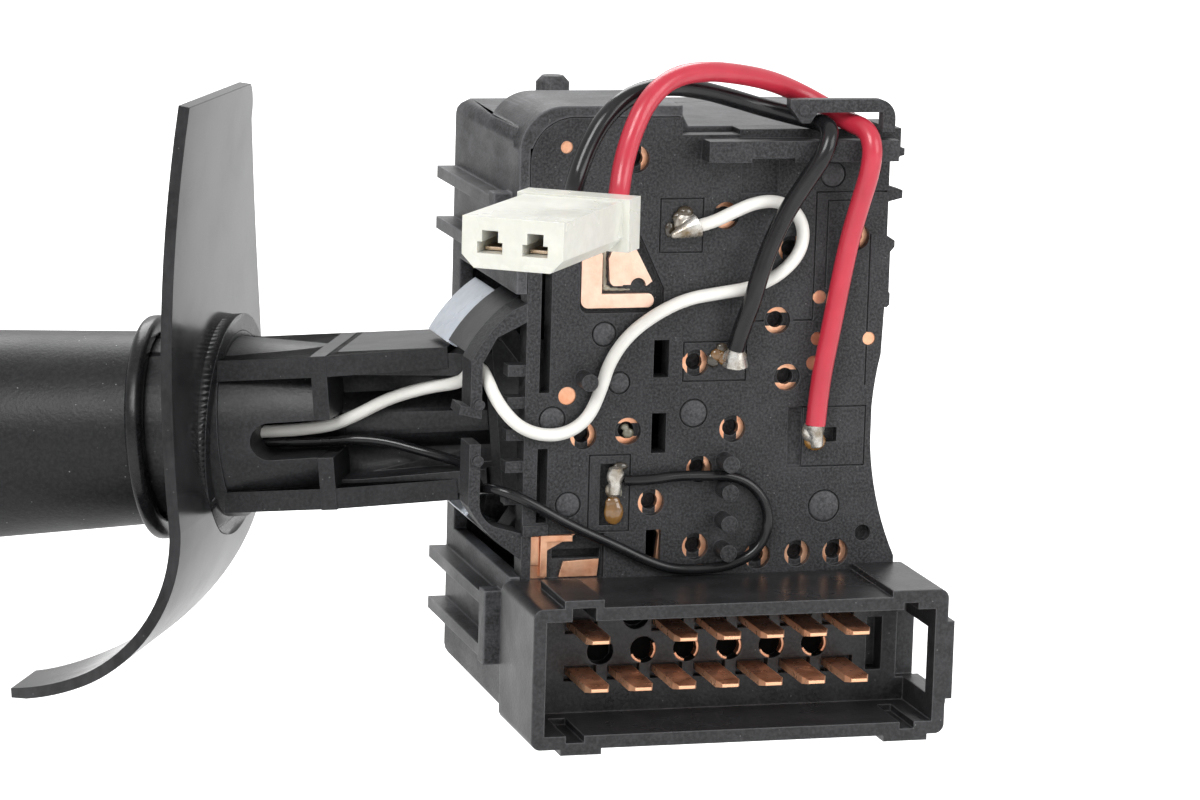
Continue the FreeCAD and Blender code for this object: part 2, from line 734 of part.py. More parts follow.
# Cable hook that stands on the plate's upper edge
hookLeft = size("hookLeft", 20.1)
hookRight = size("hookRight", 32.6)
hookTop = size("hookTop", 37.9)
hookBar = size("hookBar", 1.5)


def cableHook():
    front = plateFace - ledgeReach
    bar = [
        (hookLeft, hookTop),
        (hookLeft, hookTop - 0.9),
        (hookLeft + 1.4, hookTop - 2.7),
        (hookLeft + 2.4, hookTop - 2.7),
        (hookLeft + 3.2, hookTop - hookBar),
        (hookRight - hookBar, hookTop - hookBar),
        (hookRight - hookBar, bodyTop),
        (hookRight, bodyTop),
        (hookRight, hookTop - 2.2, 2.2),
        (hookRight - 2.2, hookTop),
    ]
    boss = rod("y", hookLeft + 1.6, front - 0.3, hookTop - 1.2, 0.6, 1)
    foot = span((hookRight - hookBar, hookRight), (front, plateBack), (bodyTop, hookTop - 3))
    return fuse(pad("XZ", bar, -front - hookBar, hookBar), boss, foot)


piece("cable_hook", cableHook())


# Turn carrier, flash pin and stalk
def sector(outer, inner, low, high, front, back):
    """A curved wall about the indicator pivot, from one angle to another."""
    item = doc.addObject("Part::Cylinder", "Sector")
    bind(item, Radius=outer, Height=sized(back) - front, Angle=high - low)
    item.Placement = Placement(Vector(), Rotation(Vector(1, 0, 0), -90) * Rotation(Vector(0, 0, 1), -high))
    at(item, 0, front, 0)
    return cut(item, rod("y", 0, front - 1, 0, inner, sized(back) - front + 2))


arcRadius = size("arcRadius", 17.3)
arcWall = size("arcWall", 1.3)
bracketDeep = size("bracketDeep", 4.1)
bracketGap = size("bracketGap", 0.3)
arcFront = plateFace + bracketDeep + bracketGap
arcBack = -stalkDepth - 0.3
shutterBack = -stalkDepth + 9
sleeveDepth = -stalkDepth + 1.5
detentBack = sleeveDepth + 6.5
plungerRadius = size("plungerRadius", 2)
plungerTip = size("plungerTip", 15.8)
detentRadius = size("detentRadius", 16.1)
detentTravel = size("detentTravel", 1.2)
sleeveEnd = size("sleeveEnd", 12)


def spoke(angle):
    """A web from the carrier's frame out to a curved wall."""
    item = doc.addObject("Part::Box", "Spoke")
    bind(item, Length=arcRadius - arcWall / 2 - 8, Width=4, Height=2)
    item.Placement = Placement(Vector(), Rotation(Vector(0, 1, 0), -angle))
    reach = 8 * math.cos(math.radians(angle))
    rise = 8 * math.sin(math.radians(angle))
    return at(item, reach, arcBack - 4, rise)


def turnCarrier():
    frameBox = doc.addObject("Part::Box", "Frame")
    bind(frameBox, Length=carrierHalf + 4.5, Width=carrierHalf * 2, Height=carrierHeight * 2)
    at(frameBox, -4, -carrierHalf, -carrierHeight)
    space = doc.addObject("Part::Box", "Space")
    inner = carrierHalf - carrierWall
    bind(space, Length=carrierHalf + 6, Width=inner * 2, Height=eyeHeight * 2)
    at(space, -2.2, -inner, -eyeHeight)
    pinHole = rod("z", flashOffset, 0, -carrierHeight - 1, pinRadius, carrierHeight * 2 + 2)
    rear = rod("y", 0, plateBack + 0.1, 0, trunnionRadius, 8)
    front = rod("y", 0, -stalkDepth + 5.5, 0, trunnionRadius, stalkDepth - 6.4)
    sleeve = rod("x", 2, sleeveDepth, 0, plungerRadius + 1.5, sleeveEnd - 2)
    bore = rod("x", sleeveEnd - 5.5, sleeveDepth, 0, plungerRadius + runningGap, 8)
    turns = ((118, 150), (224, 250))
    arcs = [sector(arcRadius, arcRadius - arcWall, low, high, arcFront, arcBack) for low, high in turns]
    spokes = [spoke(128), spoke(236)]
    body = fuse(inStalk(frameBox), rear, front, sleeve, *arcs, *spokes)
    return cut(body, inStalk(space), inStalk(pinHole), bore)


piece("turn_carrier", turnCarrier())
piece("sector_shutter", group(
    sector(arcRadius, arcRadius - arcWall, 124, 151, arcBack, shutterBack),
    sector(arcRadius, arcRadius - arcWall, 223, 246, arcBack, shutterBack),
))


def detentPlunger():
    shank = plungerTip - plungerRadius - sleeveEnd + 3.5
    tip = doc.addObject("Part::Sphere", "Tip")
    bind(tip, Radius=plungerRadius)
    at(tip, plungerTip - plungerRadius, sleeveDepth, 0)
    return fuse(rod("x", sleeveEnd - 3.5, sleeveDepth, 0, plungerRadius, shank), tip)


def coil(axisRadius, wireHalf, start, length, turns):
    """A coil spring along X, made of one square wire."""
    path = Part.makeHelix(length / turns, length, axisRadius)
    corners = [(-1, -1), (1, -1), (1, 1), (-1, 1), (-1, -1)]
    section = Part.makePolygon([Vector(axisRadius + x * wireHalf, 0, z * wireHalf) for x, z in corners])
    form = Part.Wire(path).makePipeShell([section], True, True)
    form.Placement = Placement(Vector(start, 0, 0), TURNS["x"])
    return form


piece("detent_plunger", detentPlunger())
detentSpring = plain(coil(1.4, 0.2, sleeveEnd.value - 5.3, 1.6, 2))
at(detentSpring, sleeveEnd - 5.3, sleeveDepth, 0)
piece("detent_spring", detentSpring)


def detentBlock():
    """Cam with three notches for left, centre and right."""
    near = sleeveDepth - 7
    block = span((11, bodyRight - wall), (near, detentBack), (-11, 11))
    takes = [rod("y", 0, near - 1, 0, detentRadius, 16)]
    for angle in (-14, 0, 14):
        reach = (detentRadius.value - 0.6) * math.cos(math.radians(angle))
        rise = (detentRadius.value - 0.6) * math.sin(math.radians(angle))
        takes.append(rod("y", reach, near - 1, rise, plungerRadius + 0.15, 16))
    takes.append(span((10, 15), (near - 1, sleeveDepth + 7), (-12, 12)))
    return cut(block, *takes)


piece("detent_block", detentBlock())


pawlPivot = size("pawlPivot", 26)
pawlReach = size("pawlReach", 12.5)
pawlGap = size("pawlGap", 1)
pawlPinRadius = size("pawlPinRadius", 1.2)


def cancelPawl():
    front = detentBack + pawlGap
    back = -wall - pawlGap * 2.9
    thick = back - front
    boss = rod("y", pawlPivot, front, 0, 3, thick)
    arm = pad("XZ", [
        (pawlPivot, -2.2), (pawlPivot + pawlReach, -1.2), (pawlPivot + pawlReach, 1.2), (pawlPivot, 2.2),
    ], -back, thick)
    tail = span((pawlPivot - 7, pawlPivot), (front, back), (-1.2, 1.2))
    return cut(fuse(boss, arm, tail), rod("y", pawlPivot, front - 1, 0, pawlPinRadius + runningGap, thick + 2))


piece("cancel_pawl", cancelPawl())
piece("pawl_pin", rod("y", pawlPivot, detentBack, 0, pawlPinRadius, -detentBack - wall))
piece("flash_pin", rod("z", flashOffset, 0, -carrierHeight, pinRadius, carrierHeight * 2), stalkFrame)


def neckOutline(inset, *stations):
    """Side view of the neck through half heights at places along the stalk, inset from its edges."""
    lower = [(place, -(half - inset)) for place, half in stations]
    upper = [(place, half - inset) for place, half in reversed(stations)]
    return lower + upper


def stalkRecess(outline, floor):
    """Space above a floor on the side of the neck that faces the connector."""
    return pad("XZ", outline, -neckDeep - 1, neckDeep + 1 - floor)


def stalkCore():
    eye = rod("z", flashOffset, 0, -eyeHeight + 0.15, eyeRadius, eyeHeight * 2 - 0.3)
    shank = span((flashOffset, shoulder + 1), (-eyeRadius, eyeRadius), (-eyeHeight + 0.15, eyeHeight - 0.15))
    waist = (waistPlace, neckWaist)
    whole = neckOutline(0, (shoulder, neckInner), waist, (swellPlace, neckSwell), (neckEnd, neckOuter))
    slab = pad("XZ", whole, -neckDeep, neckDeep * 2)
    neck = shared(slab, rod("x", shoulder - 1, 0, 0, neckOuter, neckEnd))
    shelf = crossRib + crossRibThick
    pocketOutline = neckOutline(ribThick, (shoulder - 0.5, neckInner), waist, (crossRib, neckWaist))
    pocket = stalkRecess(pocketOutline, pocketFloor)
    ledge = stalkRecess(neckOutline(ribThick, (shelf, neckWaist), (neckEnd - 1, neckWaist)), shelfFloor)
    lowBarrel = rod("x", shoulder, -1.7, 0, 4.2, crossRib - shoulder + 0.5)
    highBarrel = rod("x", shelf - 0.5, -2.6, 0, 7.5, neckEnd - shelf)
    spindle = rod("x", neckEnd - 1, 0, 0, spindleRadius, spindleEnd - neckEnd + 1)
    root = rod("x", neckEnd - 0.5, 0, 0, neckOuter, gripStart - neckEnd + 0.5)
    solid = fuse(cut(fuse(neck, shank), pocket, ledge), eye, lowBarrel, highBarrel, spindle, root)
    slotHigh = wireSlotRadius * 2
    slot = span(
        (crossRib - 0.5, wireSlotEnd - wireSlotRadius),
        (ductDepth - ductRadius - 0.2, neckDeep + 1),
        (wireSlotLevel - wireSlotRadius, wireSlotLevel - wireSlotRadius + slotHigh),
    )
    slotTip = rod("y", wireSlotEnd - wireSlotRadius, ductDepth - ductRadius - 0.2, wireSlotLevel, wireSlotRadius, 5)
    duct = rod("x", wireSlotEnd - 3, ductDepth, wireSlotLevel, ductRadius, spindleEnd - wireSlotEnd + 4)
    pinHole = rod("z", flashOffset, 0, -eyeHeight - 1, pinRadius + runningGap, eyeHeight * 2 + 2)
    rodBore = rod("x", rodStart - 1, 0, 0, rodRadius + runningGap, spindleEnd - rodStart + 2)
    sweep = doc.addObject("Part::Cylinder", "Sweep")
    bind(sweep, Radius=spindleRadius + 2, Height=driveRadius * 2 + 0.6, Angle=120)
    sweep.Placement = Placement(Vector(), Rotation(Vector(0, 1, 0), 90) * Rotation(Vector(0, 0, 1), -30))
    at(sweep, drivePlace - driveRadius - 0.3, 0, 0)
    return cut(solid, slot, slotTip, duct, pinHole, rodBore, sweep)


def drivePin(length):
    return rod("z", drivePlace, 0, -length, driveRadius, length + rodRadius - 0.3)


piece("stalk_core", stalkCore(), stalkFrame)
piece("light_rod", cut(rod("x", rodStart, 0, 0, rodRadius, rodEnd - rodStart), drivePin(4)), stalkFrame)


def shieldArcs(shift):
    corners = [(1.7, 36), (1.2, -12.5), (-8.4, -29.4), (-17.4, -31.9)]
    between = [(0, 15), (-1.6, -23), (-12.8, -31.1)]
    return [
        Part.Arc(*[Vector(x + shift, 0, z) for x, z in (start, middle, end)]).toShape()
        for start, middle, end in zip(corners, between, corners[1:])
    ]


def shieldForm():
    """Bent sheet that closes the column slot."""
    face = Part.Wire(shieldArcs(0)).makeOffset2D(shieldThick.value, 0, True, True)
    return face.extrude(Vector(0, shieldWidth.value, 0))


def handleSide():
    """All that lies on the handle's side of the sheet's inner face."""
    shift = shieldThick.value + 0.05
    arcs = shieldArcs(shift)
    ends = [Vector(1.7 + shift, 0, 36), Vector(-30, 0, 36), Vector(-30, 0, -31.9), Vector(-17.4 + shift, 0, -31.9)]
    face = Part.Face(Part.Wire(arcs + [Part.makePolygon(ends)]))
    return face.extrude(Vector(0, shieldWidth.value * 2, 0)).translated(Vector(0, -shieldWidth.value / 2, 0))


def inShield(item):
    item = group(item)
    item.setExpression("Placement", shieldFrame)
    return item


def shieldOutline():
    """Rounded outline of the sheet, drawn across its width and height."""
    outline = [
        (-1, -33), (3, -33), (4, -32.4, 36), (shieldFar, -6, 60), (shieldFar - 1, 8, 90), (27.5, 31.5, 5),
        (22.5, 36.5),
        (-1, 36.5),
    ]
    return inShield(pad("YZ", outline, -30, 40))


piece("slot_shield", cut(
    shared(inShield(plain(shieldForm())), shieldOutline()),
    inStalk(rod("x", shieldPlace - 14, 0, 0, neckOuter + seat, 26)),
))


# Rings that grip the shield, and the handle
def washer(start, length, inner, outer):
    return turned([(start, inner), (start + length, inner), (start + length, outer), (start, outer)])


def shieldCollar():
    band = rod("x", shieldPlace - 9, 0, 0, collarRadius, 9 + shieldThick)
    bore = rod("x", shieldPlace - 10, 0, 0, neckOuter + seat, 14)
    casingSide = box(collarSeat + collarLength, -shieldWidth / 2, -40, 20, shieldWidth * 2, 80)
    return cut(inStalk(cut(band, bore)), inShield(plain(handleSide())), inShield(casingSide))


piece("shield_collar", shieldCollar())
piece("stop_flange", washer(gripStart - flangeThick, flangeThick, neckOuter + seat, flangeRadius), stalkFrame)
piece("stalk_grip", turned([
    (gripStart, spindleRadius + seat),
    (gripEnd, spindleRadius + seat),
    (gripEnd, gripRadius - 0.8),
    (gripEnd - 1, gripRadius),
    (gripStart + 22, gripRadius),
    (gripStart, gripRootRadius),
]), stalkFrame)
ringStart = gripEnd + turnGap
piece("fog_ring", turned([
    (ringStart, spindleRadius + runningGap),
    (ringStart + ringLength, spindleRadius + runningGap),
    (ringStart + ringLength, ringRadius - 0.5),
    (ringStart + ringLength - 0.5, ringRadius),
    (ringStart + 0.5, ringRadius),
    (ringStart, ringRadius - 0.5),
]), stalkFrame)
knobStart = ringStart + ringLength + turnGap
knobEnd = knobStart + knobLength
knobForm = turned([
    (knobStart, spindleRadius + runningGap),
    (spindleEnd + 1.5, spindleRadius + runningGap),
    (spindleEnd + 1.5, buttonRadius + 0.6),
    (knobEnd - 5, buttonRadius + 0.6),
    (knobEnd - 5, buttonRadius + runningGap),
    (knobEnd, buttonRadius + runningGap),
    (knobEnd, knobTipRadius - 1.5),
    (knobEnd - 1.5, knobTipRadius),
    (knobStart + 1, knobRadius),
    (knobStart, knobRadius - 0.8),
])
piece("light_knob", cut(knobForm, drivePin(knobRadius - 2)), stalkFrame)
piece("knob_drive_pin", drivePin(knobRadius - 2), stalkFrame)
stemEnd = spindleEnd + 0.5 + buttonTravel
piece("horn_button", turned([
    (stemEnd + 0.3, 0),
    (stemEnd + 0.3, 2),
    (knobEnd - 8, 2),
    (knobEnd - 8, buttonRadius + 0.4),
    (knobEnd - 5.4, buttonRadius + 0.4),
    (knobEnd - 5.4, buttonRadius),
    (knobEnd + buttonProud - 1, buttonRadius),
    (knobEnd + buttonProud, buttonRadius - 2),
    (knobEnd + buttonProud, 0),
]), stalkFrame)


piece("horn_bridge", rod("x", stemEnd, 0, 0, 5.6, 0.3), stalkFrame)
piece("horn_rings", group(
    washer(spindleEnd, 0.4, 2.4, 3.3),
    washer(spindleEnd, 0.4, 4.5, 5.6),
), stalkFrame)
springLength = knobEnd.value - 10.3 - spindleEnd.value
piece("horn_spring", plain(coil(7.2, 0.3, spindleEnd.value + 1.9, springLength, 4)), stalkFrame)


# Curved guide at the lever window, one moulding with a comb
bracketReach = size("bracketReach", 15.3)
bracketBar = size("bracketBar", 1.3)
bracketCurve = size("bracketCurve", 17.3)


def wireBracket():
    """Two curved arms over the lever window; the upper one ends in a hook."""
    inside = bracketReach - bracketBar
    foot = plateInset
    upper = [
        (-inside, 1.7), (-inside, 8), (-12.4, 10.9), (foot, 12.6), (foot, 14.7), (-10.6, 14, bracketCurve),
        (-bracketReach, 8.3), (-bracketReach, 3), (-16.4, 3.3), (-16.6, 2.3),
    ]
    lower = [
        (-bracketReach, -8.3, bracketCurve), (-12.2, -12.2), (foot, -14.7), (foot, -11.6), (-11.9, -10.8, -3),
        (-inside, -8.2),
        (-inside, -1.2), (-bracketReach, -1.2),
    ]
    arms = []
    for outline, pegHeight in ((upper, 3.4), (lower, -3)):
        arm = pad("XZ", outline, bodyDepth - bracketDeep, bracketDeep)
        arms.append(fuse(arm, rod("y", -bracketReach + 0.9, plateFace - 0.7, pegHeight, 0.6, 1.5)))
    return group(*arms)


piece("wire_bracket", wireBracket())


# Leads
def tube(points, radius, name):
    """A round lead along straight runs joined by tangent arcs; prints its smallest bend."""
    corners = [Vector(*point) for point in points]
    edges = []
    here = corners[0]
    bends = []
    for before, corner, after in zip(corners, corners[1:], corners[2:]):
        back = before - corner
        ahead = after - corner
        turn = math.pi - back.getAngle(ahead)
        reach = 0.45 * min(back.Length, ahead.Length)
        bend = reach / math.tan(turn / 2)
        bends.append(bend)
        back.normalize()
        ahead.normalize()
        start = corner + back * reach
        end = corner + ahead * reach
        inward = (back + ahead).normalize()
        depth = bend / math.cos(turn / 2) - bend
        edges.append(Part.LineSegment(here, start).toShape())
        edges.append(Part.Arc(start, corner + inward * depth, end).toShape())
        here = end
    edges.append(Part.LineSegment(here, corners[-1]).toShape())
    path = Part.Wire(edges)
    along = corners[1] - corners[0]
    section = Part.Wire(Part.makeCircle(radius.value, corners[0], along))
    solid = path.makePipeShell([section], True, False)
    full = math.pi * radius.value ** 2 * path.Length
    print(f"{name}: length {path.Length:.1f}, smallest bend {min(bends):.2f}, volume {solid.Volume / full:.4f}")
    return solid


redRoute = [
    (24.9, -31.6, 0.4), (25.2, -31.6, 5), (26.1, -31.7, 10.4), (27.1, -31.7, 16.2), (28.0, -31.9, 21.6),
    (28.7, -33.1, 26), (29.2, -34.6, 29.6), (29.4, -34.95, 32.6), (29.1, -33.6, 34.55), (27.7, -31.0, 35.1),
    (25.4, -29.0, 36.6), (21.9, -29.0, 38.4), (18.0, -31.1, 39.9), (13.6, -33.8, 40.9), (8.8, -36.6, 41.6),
    (4.2, -39.2, 41.2), (0.9, -41, 38.8), (-1.0, -42, 35.2), (-2.0, -42.3, 31.6), (-2.7, -43.6, 28.4),
    (-4.05, -46.3, 27), (-6.2, -49.8, 26.9),
]
blackRoute = [
    (15.1, -31.4, 9.4), (15.6, -32.3, 12.2), (16.4, -33.0, 15), (17.2, -33.1, 18.4), (18.5, -33.0, 22),
    (20.2, -33.2, 25.6), (22.0, -34.1, 28.9), (23.8, -34.9, 32), (24.7, -33.9, 34.4), (24.5, -31.6, 35.15),
    (22.6, -29.6, 35.4), (18.6, -29.2, 36.4), (14.0, -30.6, 37.8), (9.4, -33, 39.1), (4.6, -35.9, 39.9),
    (0.0, -38.2, 39.3), (-3.3, -39.3, 36.9), (-5.4, -39.8, 33.4), (-6.9, -40.8, 29.8), (-8.3, -43.7, 27.3),
    (-10.4, -47.0, 26.85),
]
whiteRoute = [
    (9.6, -30.9, 23.2), (11.9, -31.2, 23.8), (14.2, -30.9, 24.8), (16.8, -30.8, 25.9), (19.4, -30.8, 26.2),
    (21.7, -30.8, 25.2), (23.0, -30.8, 22.9), (22.6, -30.8, 20.1), (20.2, -30.8, 17.6), (16.9, -30.8, 16.2),
    (13.2, -30.8, 15.7), (9.3, -30.8, 15.1), (5.7, -30.8, 13.4), (2.6, -30.8, 11.1), (0.5, -30.8, 8.1),
    (-0.4, -30.8, 4.9), (-1.8, -30.8, 1.6), (-4.4, -30.9, -0.1), (-7.6, -31.1, -0.1), (-10.4, -31.2, 1.2),
    (-12.4, -30.2, 3.8), (-13.1, -28.2, 6.2), (-13.2, -25.4, 6.9), (-13.35, -22.2, 5.81),
]
thinRoute = [
    (2.6, -30.8, -5.6), (5.3, -31.2, -5.6), (8.8, -30.9, -5.2), (12.4, -30.8, -5.3), (15.7, -30.8, -5.45),
    (18.2, -30.8, -6.8), (19.8, -30.8, -9.2), (19.9, -30.8, -12.2), (18.3, -30.8, -14.6), (15.5, -30.8, -15.9),
    (12.1, -30.8, -16.2), (8.6, -30.8, -16.1), (5.3, -30.8, -14.9), (2.0, -30.8, -13.2), (-1.5, -30.8, -11.6),
    (-5.0, -31.1, -9.8), (-8.2, -31.2, -7.9), (-11.0, -30.8, -6.6), (-12.9, -29, -6.4), (-13.2, -26, -7.3),
    (-13.05, -22.75, -8.3),
]
# The two thin wires go on in the neck, in the stalk's frame, and down the duct of the stem
whiteNeckRoute = [
    (9.95, 8.7, 6.5), (10.8, 7.0, 5.4), (12.4, 5.2, 4.6), (15.0, 3.9, 4.2), (18.0, 3.5, 3.6), (21.2, 3.4, 2.7),
    (24.4, 3.4, 1.2), (27.6, 3.5, 0.0), (31.0, 3.7, -0.3), (34.8, 3.95, -0.35), (39.2, 4.15, -0.3),
    (44.0, 4.15, -0.27),
]
thinNeckRoute = [
    (9.7, 9.1, -7.0), (10.65, 7.1, -5.8), (12.2, 5.3, -4.7), (15.0, 3.8, -4.1), (18.0, 3.2, -3.3),
    (21.2, 3.1, -2.3), (24.6, 3.15, -1.75), (28.0, 3.25, -1.85), (31.4, 3.3, -1.85), (35.0, 3.6, -1.62),
    (39.4, 3.75, -1.66), (44.0, 3.75, -1.63),
]
redLead = plain(tube(redRoute, redRadius, "red lead"))
blackLead = plain(tube(blackRoute, blackRadius, "black lead"))
whiteWire = plain(tube(whiteRoute, whiteRadius, "white wire"))
thinWire = plain(tube(thinRoute, thinRadius, "thin wire"))
piece("red_lead", redLead)
piece("black_lead", blackLead)
piece("horn_wire_white", whiteWire)
piece("horn_wire_black", thinWire)
piece("neck_wire_white", plain(tube(whiteNeckRoute, whiteRadius, "white wire in the neck")), stalkFrame)
piece("neck_wire_black", plain(tube(thinNeckRoute, thinRadius, "thin wire in the neck")), stalkFrame)


# Plug on the two thick leads
plugFrame = frameText(-7.6, -47.4, 26.9, plugYaw, 0)
terminalPitch = size("terminalPitch", 5)


def plugHousing():
    half = plugWidth / 2
    lower = [
        (-half, plugHeight / 2),
        (-half, -plugHeight / 2 + 1.4),
        (-half + 1.4, -plugHeight / 2),
        (half - 1.4, -plugHeight / 2),
        (half, -plugHeight / 2 + 1.4),
        (half, plugHeight / 2),
    ]
    shell = pad("YZ", lower, 0, plugLength)
    collar = span((0, 3.6), (-half - 0.8, half + 0.8), (-plugHeight / 2 - 0.1, plugHeight / 2 + 0.2))
    takes = []
    for side in (-0.5, 0.5):
        middle = terminalPitch * side
        takes.append(span((-1, plugLength + 1), (middle - 1.4, middle + 1.4), (-1.1, 0.1)))
        takes.append(span((-1, plugLength + 1), (middle - 0.9, middle + 0.9), (-0.2, 1.3)))
        takes.append(rod("x", -1, middle, -0.05, redRadius + 0.25, 2.6))
    return cut(fuse(shell, collar), *takes)


def plugTerminals():
    pair = []
    for side in (-0.5, 0.5):
        middle = terminalPitch * side
        barrel = span((4, plugLength - 2), (middle - 1.25, middle + 1.25), (-1, -0.65))
        crimp = rod("x", 1.7, middle, -0.05, 0.8, 4.7)
        pair.append(fuse(barrel, crimp))
    return group(*pair)


piece("plug_housing", plugHousing(), plugFrame)
piece("plug_terminals", plugTerminals(), plugFrame)


# Solder where the leads meet the tracks
def blob(x, z, radius, reach):
    item = doc.addObject("Part::Cone", "Solder")
    bind(item, Radius1=radius, Radius2=sized(radius) * 0.45, Height=reach)
    item.Placement = Placement(Vector(), Rotation(Vector(1, 0, 0), 90))
    return at(item, x, plateFace, z)


piece("solder_joints", cut(group(
    blob(8.4, 23.2, 1.5, 2.6),
    blob(15.1, 8.4, 1.6, 3),
    blob(24.9, -1.0, 1.5, 3),
    blob(1.7, -5.5, 1.2, 1.6),
    blob(1.8, -9.4, 1.1, 1),
), redLead, blackLead, whiteWire, thinWire))

doc.recompute()
failed = [item.Label for item in doc.Objects if "Invalid" in item.State or "Error" in item.State]
for item in pieces:
    if item.Shape.isNull() or not item.Shape.isValid():
        failed.append(item.Label)
if failed:
    raise RuntimeError(f"failed: {failed}")
os.makedirs("parts", exist_ok=True)
for item in pieces:
    item.Shape.exportStep(f"parts/{item.Label}.step")
    print(item.Label, len(item.Shape.Solids), round(item.Shape.Volume, 1))
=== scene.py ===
import bpy
import math
from mathutils import Matrix, Vector


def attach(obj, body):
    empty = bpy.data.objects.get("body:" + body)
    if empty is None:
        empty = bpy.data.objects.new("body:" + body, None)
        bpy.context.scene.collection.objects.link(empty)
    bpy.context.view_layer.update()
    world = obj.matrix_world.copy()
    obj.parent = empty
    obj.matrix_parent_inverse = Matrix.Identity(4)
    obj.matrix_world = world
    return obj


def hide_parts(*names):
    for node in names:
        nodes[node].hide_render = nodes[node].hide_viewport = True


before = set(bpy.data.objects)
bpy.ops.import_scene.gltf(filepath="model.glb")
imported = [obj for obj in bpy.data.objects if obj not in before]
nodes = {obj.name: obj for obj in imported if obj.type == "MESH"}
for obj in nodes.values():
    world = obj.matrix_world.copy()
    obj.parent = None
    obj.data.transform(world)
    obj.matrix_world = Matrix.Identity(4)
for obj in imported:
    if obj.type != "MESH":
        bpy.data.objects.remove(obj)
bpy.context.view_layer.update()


def deselectAll():
    if bpy.context.object and bpy.context.object.mode != "OBJECT":
        bpy.ops.object.mode_set(mode="OBJECT")
    bpy.ops.object.select_all(action="DESELECT")


def pick(*items):
    # the first one becomes the active object
    deselectAll()
    for item in items:
        item.select_set(True)
    bpy.context.view_layer.objects.active = items[0]


def joined(items, name):
    pick(*items)
    if len(items) > 1:
        bpy.ops.object.join()
    items[0].name = name
    return items[0]


def settle():
    # the active object's place, turn and scale go into its mesh
    bpy.ops.object.transform_apply(location=True, rotation=True, scale=True)


def startEdit(part):
    bpy.ops.object.mode_set(mode="EDIT")
    bpy.ops.mesh.select_mode(type=part)


def endEdit():
    bpy.ops.object.mode_set(mode="OBJECT")


# from here the sorting starts, off to the side, so that no two points are equally far
sortPlace = (-0.31, 0.17, 0.093)


def sortParts():
    # points, edges and faces get an order that doesn't change from run to run
    bpy.context.scene.cursor.location = sortPlace
    bpy.ops.mesh.select_all(action="SELECT")
    bpy.ops.mesh.sort_elements(type="CURSOR_DISTANCE", elements={"VERT", "EDGE", "FACE"})


def smoothTo(degrees):
    bpy.ops.object.shade_smooth_by_angle(angle=math.radians(degrees))


def applyStep(item, kind, **settings):
    # one modifier on the active object, set and applied
    step = item.modifiers.new(kind.lower(), kind)
    for label, value in settings.items():
        setattr(step, label, value)
    bpy.ops.object.modifier_apply(modifier=step.name)


def colour(red, green, blue):
    return (red, green, blue, 1)


def newGroup(name, inputs, outputs):
    # a shader node group with named sockets
    tree = bpy.data.node_groups.new(name, "ShaderNodeTree")
    for label, kind, start in inputs:
        socket = tree.interface.new_socket(label, in_out="INPUT", socket_type=kind)
        socket.default_value = start
    for label, kind in outputs:
        tree.interface.new_socket(label, in_out="OUTPUT", socket_type=kind)
    return tree, tree.nodes.new("NodeGroupInput"), tree.nodes.new("NodeGroupOutput")


def mapValue(tree, value, target, source=(0, 1)):
    # the span of source is spread over the span of target
    spread = tree.nodes.new("ShaderNodeMapRange")
    for label, number in zip(("From Min", "From Max", "To Min", "To Max"), (*source, *target)):
        spread.inputs[label].default_value = number
    tree.links.new(value, spread.inputs["Value"])
    return spread.outputs["Result"]


def addMath(tree, operation, *values):
    # each value is a number or a socket
    step = tree.nodes.new("ShaderNodeMath")
    step.operation = operation
    for socket, value in zip(step.inputs, values):
        if isinstance(value, (int, float)):
            socket.default_value = value
        else:
            tree.links.new(value, socket)
    return step.outputs["Value"]


def addNoise(tree, place, scale, detail, roughness):
    noise = tree.nodes.new("ShaderNodeTexNoise")
    noise.inputs["Detail"].default_value = detail
    noise.inputs["Roughness"].default_value = roughness
    tree.links.new(place, noise.inputs["Vector"])
    tree.links.new(scale, noise.inputs["Scale"])
    return noise.outputs["Fac"]


# from which value to which an edge (cosine), a speck, a cloud, a rub mark and a grain of dust fades in
effects = {
    "edge": (0.995, 0.8), "edgeSamples": 6,
    "speck": (0.38, 0.68), "cloud": (0.3, 0.7), "grainDetail": 3, "grainRough": 0.6,
    "rub": (0.45, 0.75), "rubDetail": 5, "rubRough": 0.65,
    "dust": (0.13, 0.05), "dustRarity": 0.82,
}


def makeEdgeRound():
    # the small moulding radius on every sharp edge, and a mask of where it is
    tree, given, result = newGroup(
        "edgeRound",
        [("Radius", "NodeSocketFloat", 0.00015)],
        [("Normal", "NodeSocketVector"), ("Edge", "NodeSocketFloat")],
    )
    rounding = tree.nodes.new("ShaderNodeBevel")
    rounding.samples = effects["edgeSamples"]
    surface = tree.nodes.new("ShaderNodeNewGeometry")
    dot = tree.nodes.new("ShaderNodeVectorMath")
    dot.operation = "DOT_PRODUCT"
    tree.links.new(given.outputs["Radius"], rounding.inputs["Radius"])
    tree.links.new(rounding.outputs["Normal"], dot.inputs[0])
    tree.links.new(surface.outputs["Normal"], dot.inputs[1])
    tree.links.new(rounding.outputs["Normal"], result.inputs["Normal"])
    tree.links.new(mapValue(tree, dot.outputs["Value"], (0, 1), effects["edge"]), result.inputs["Edge"])
    return tree


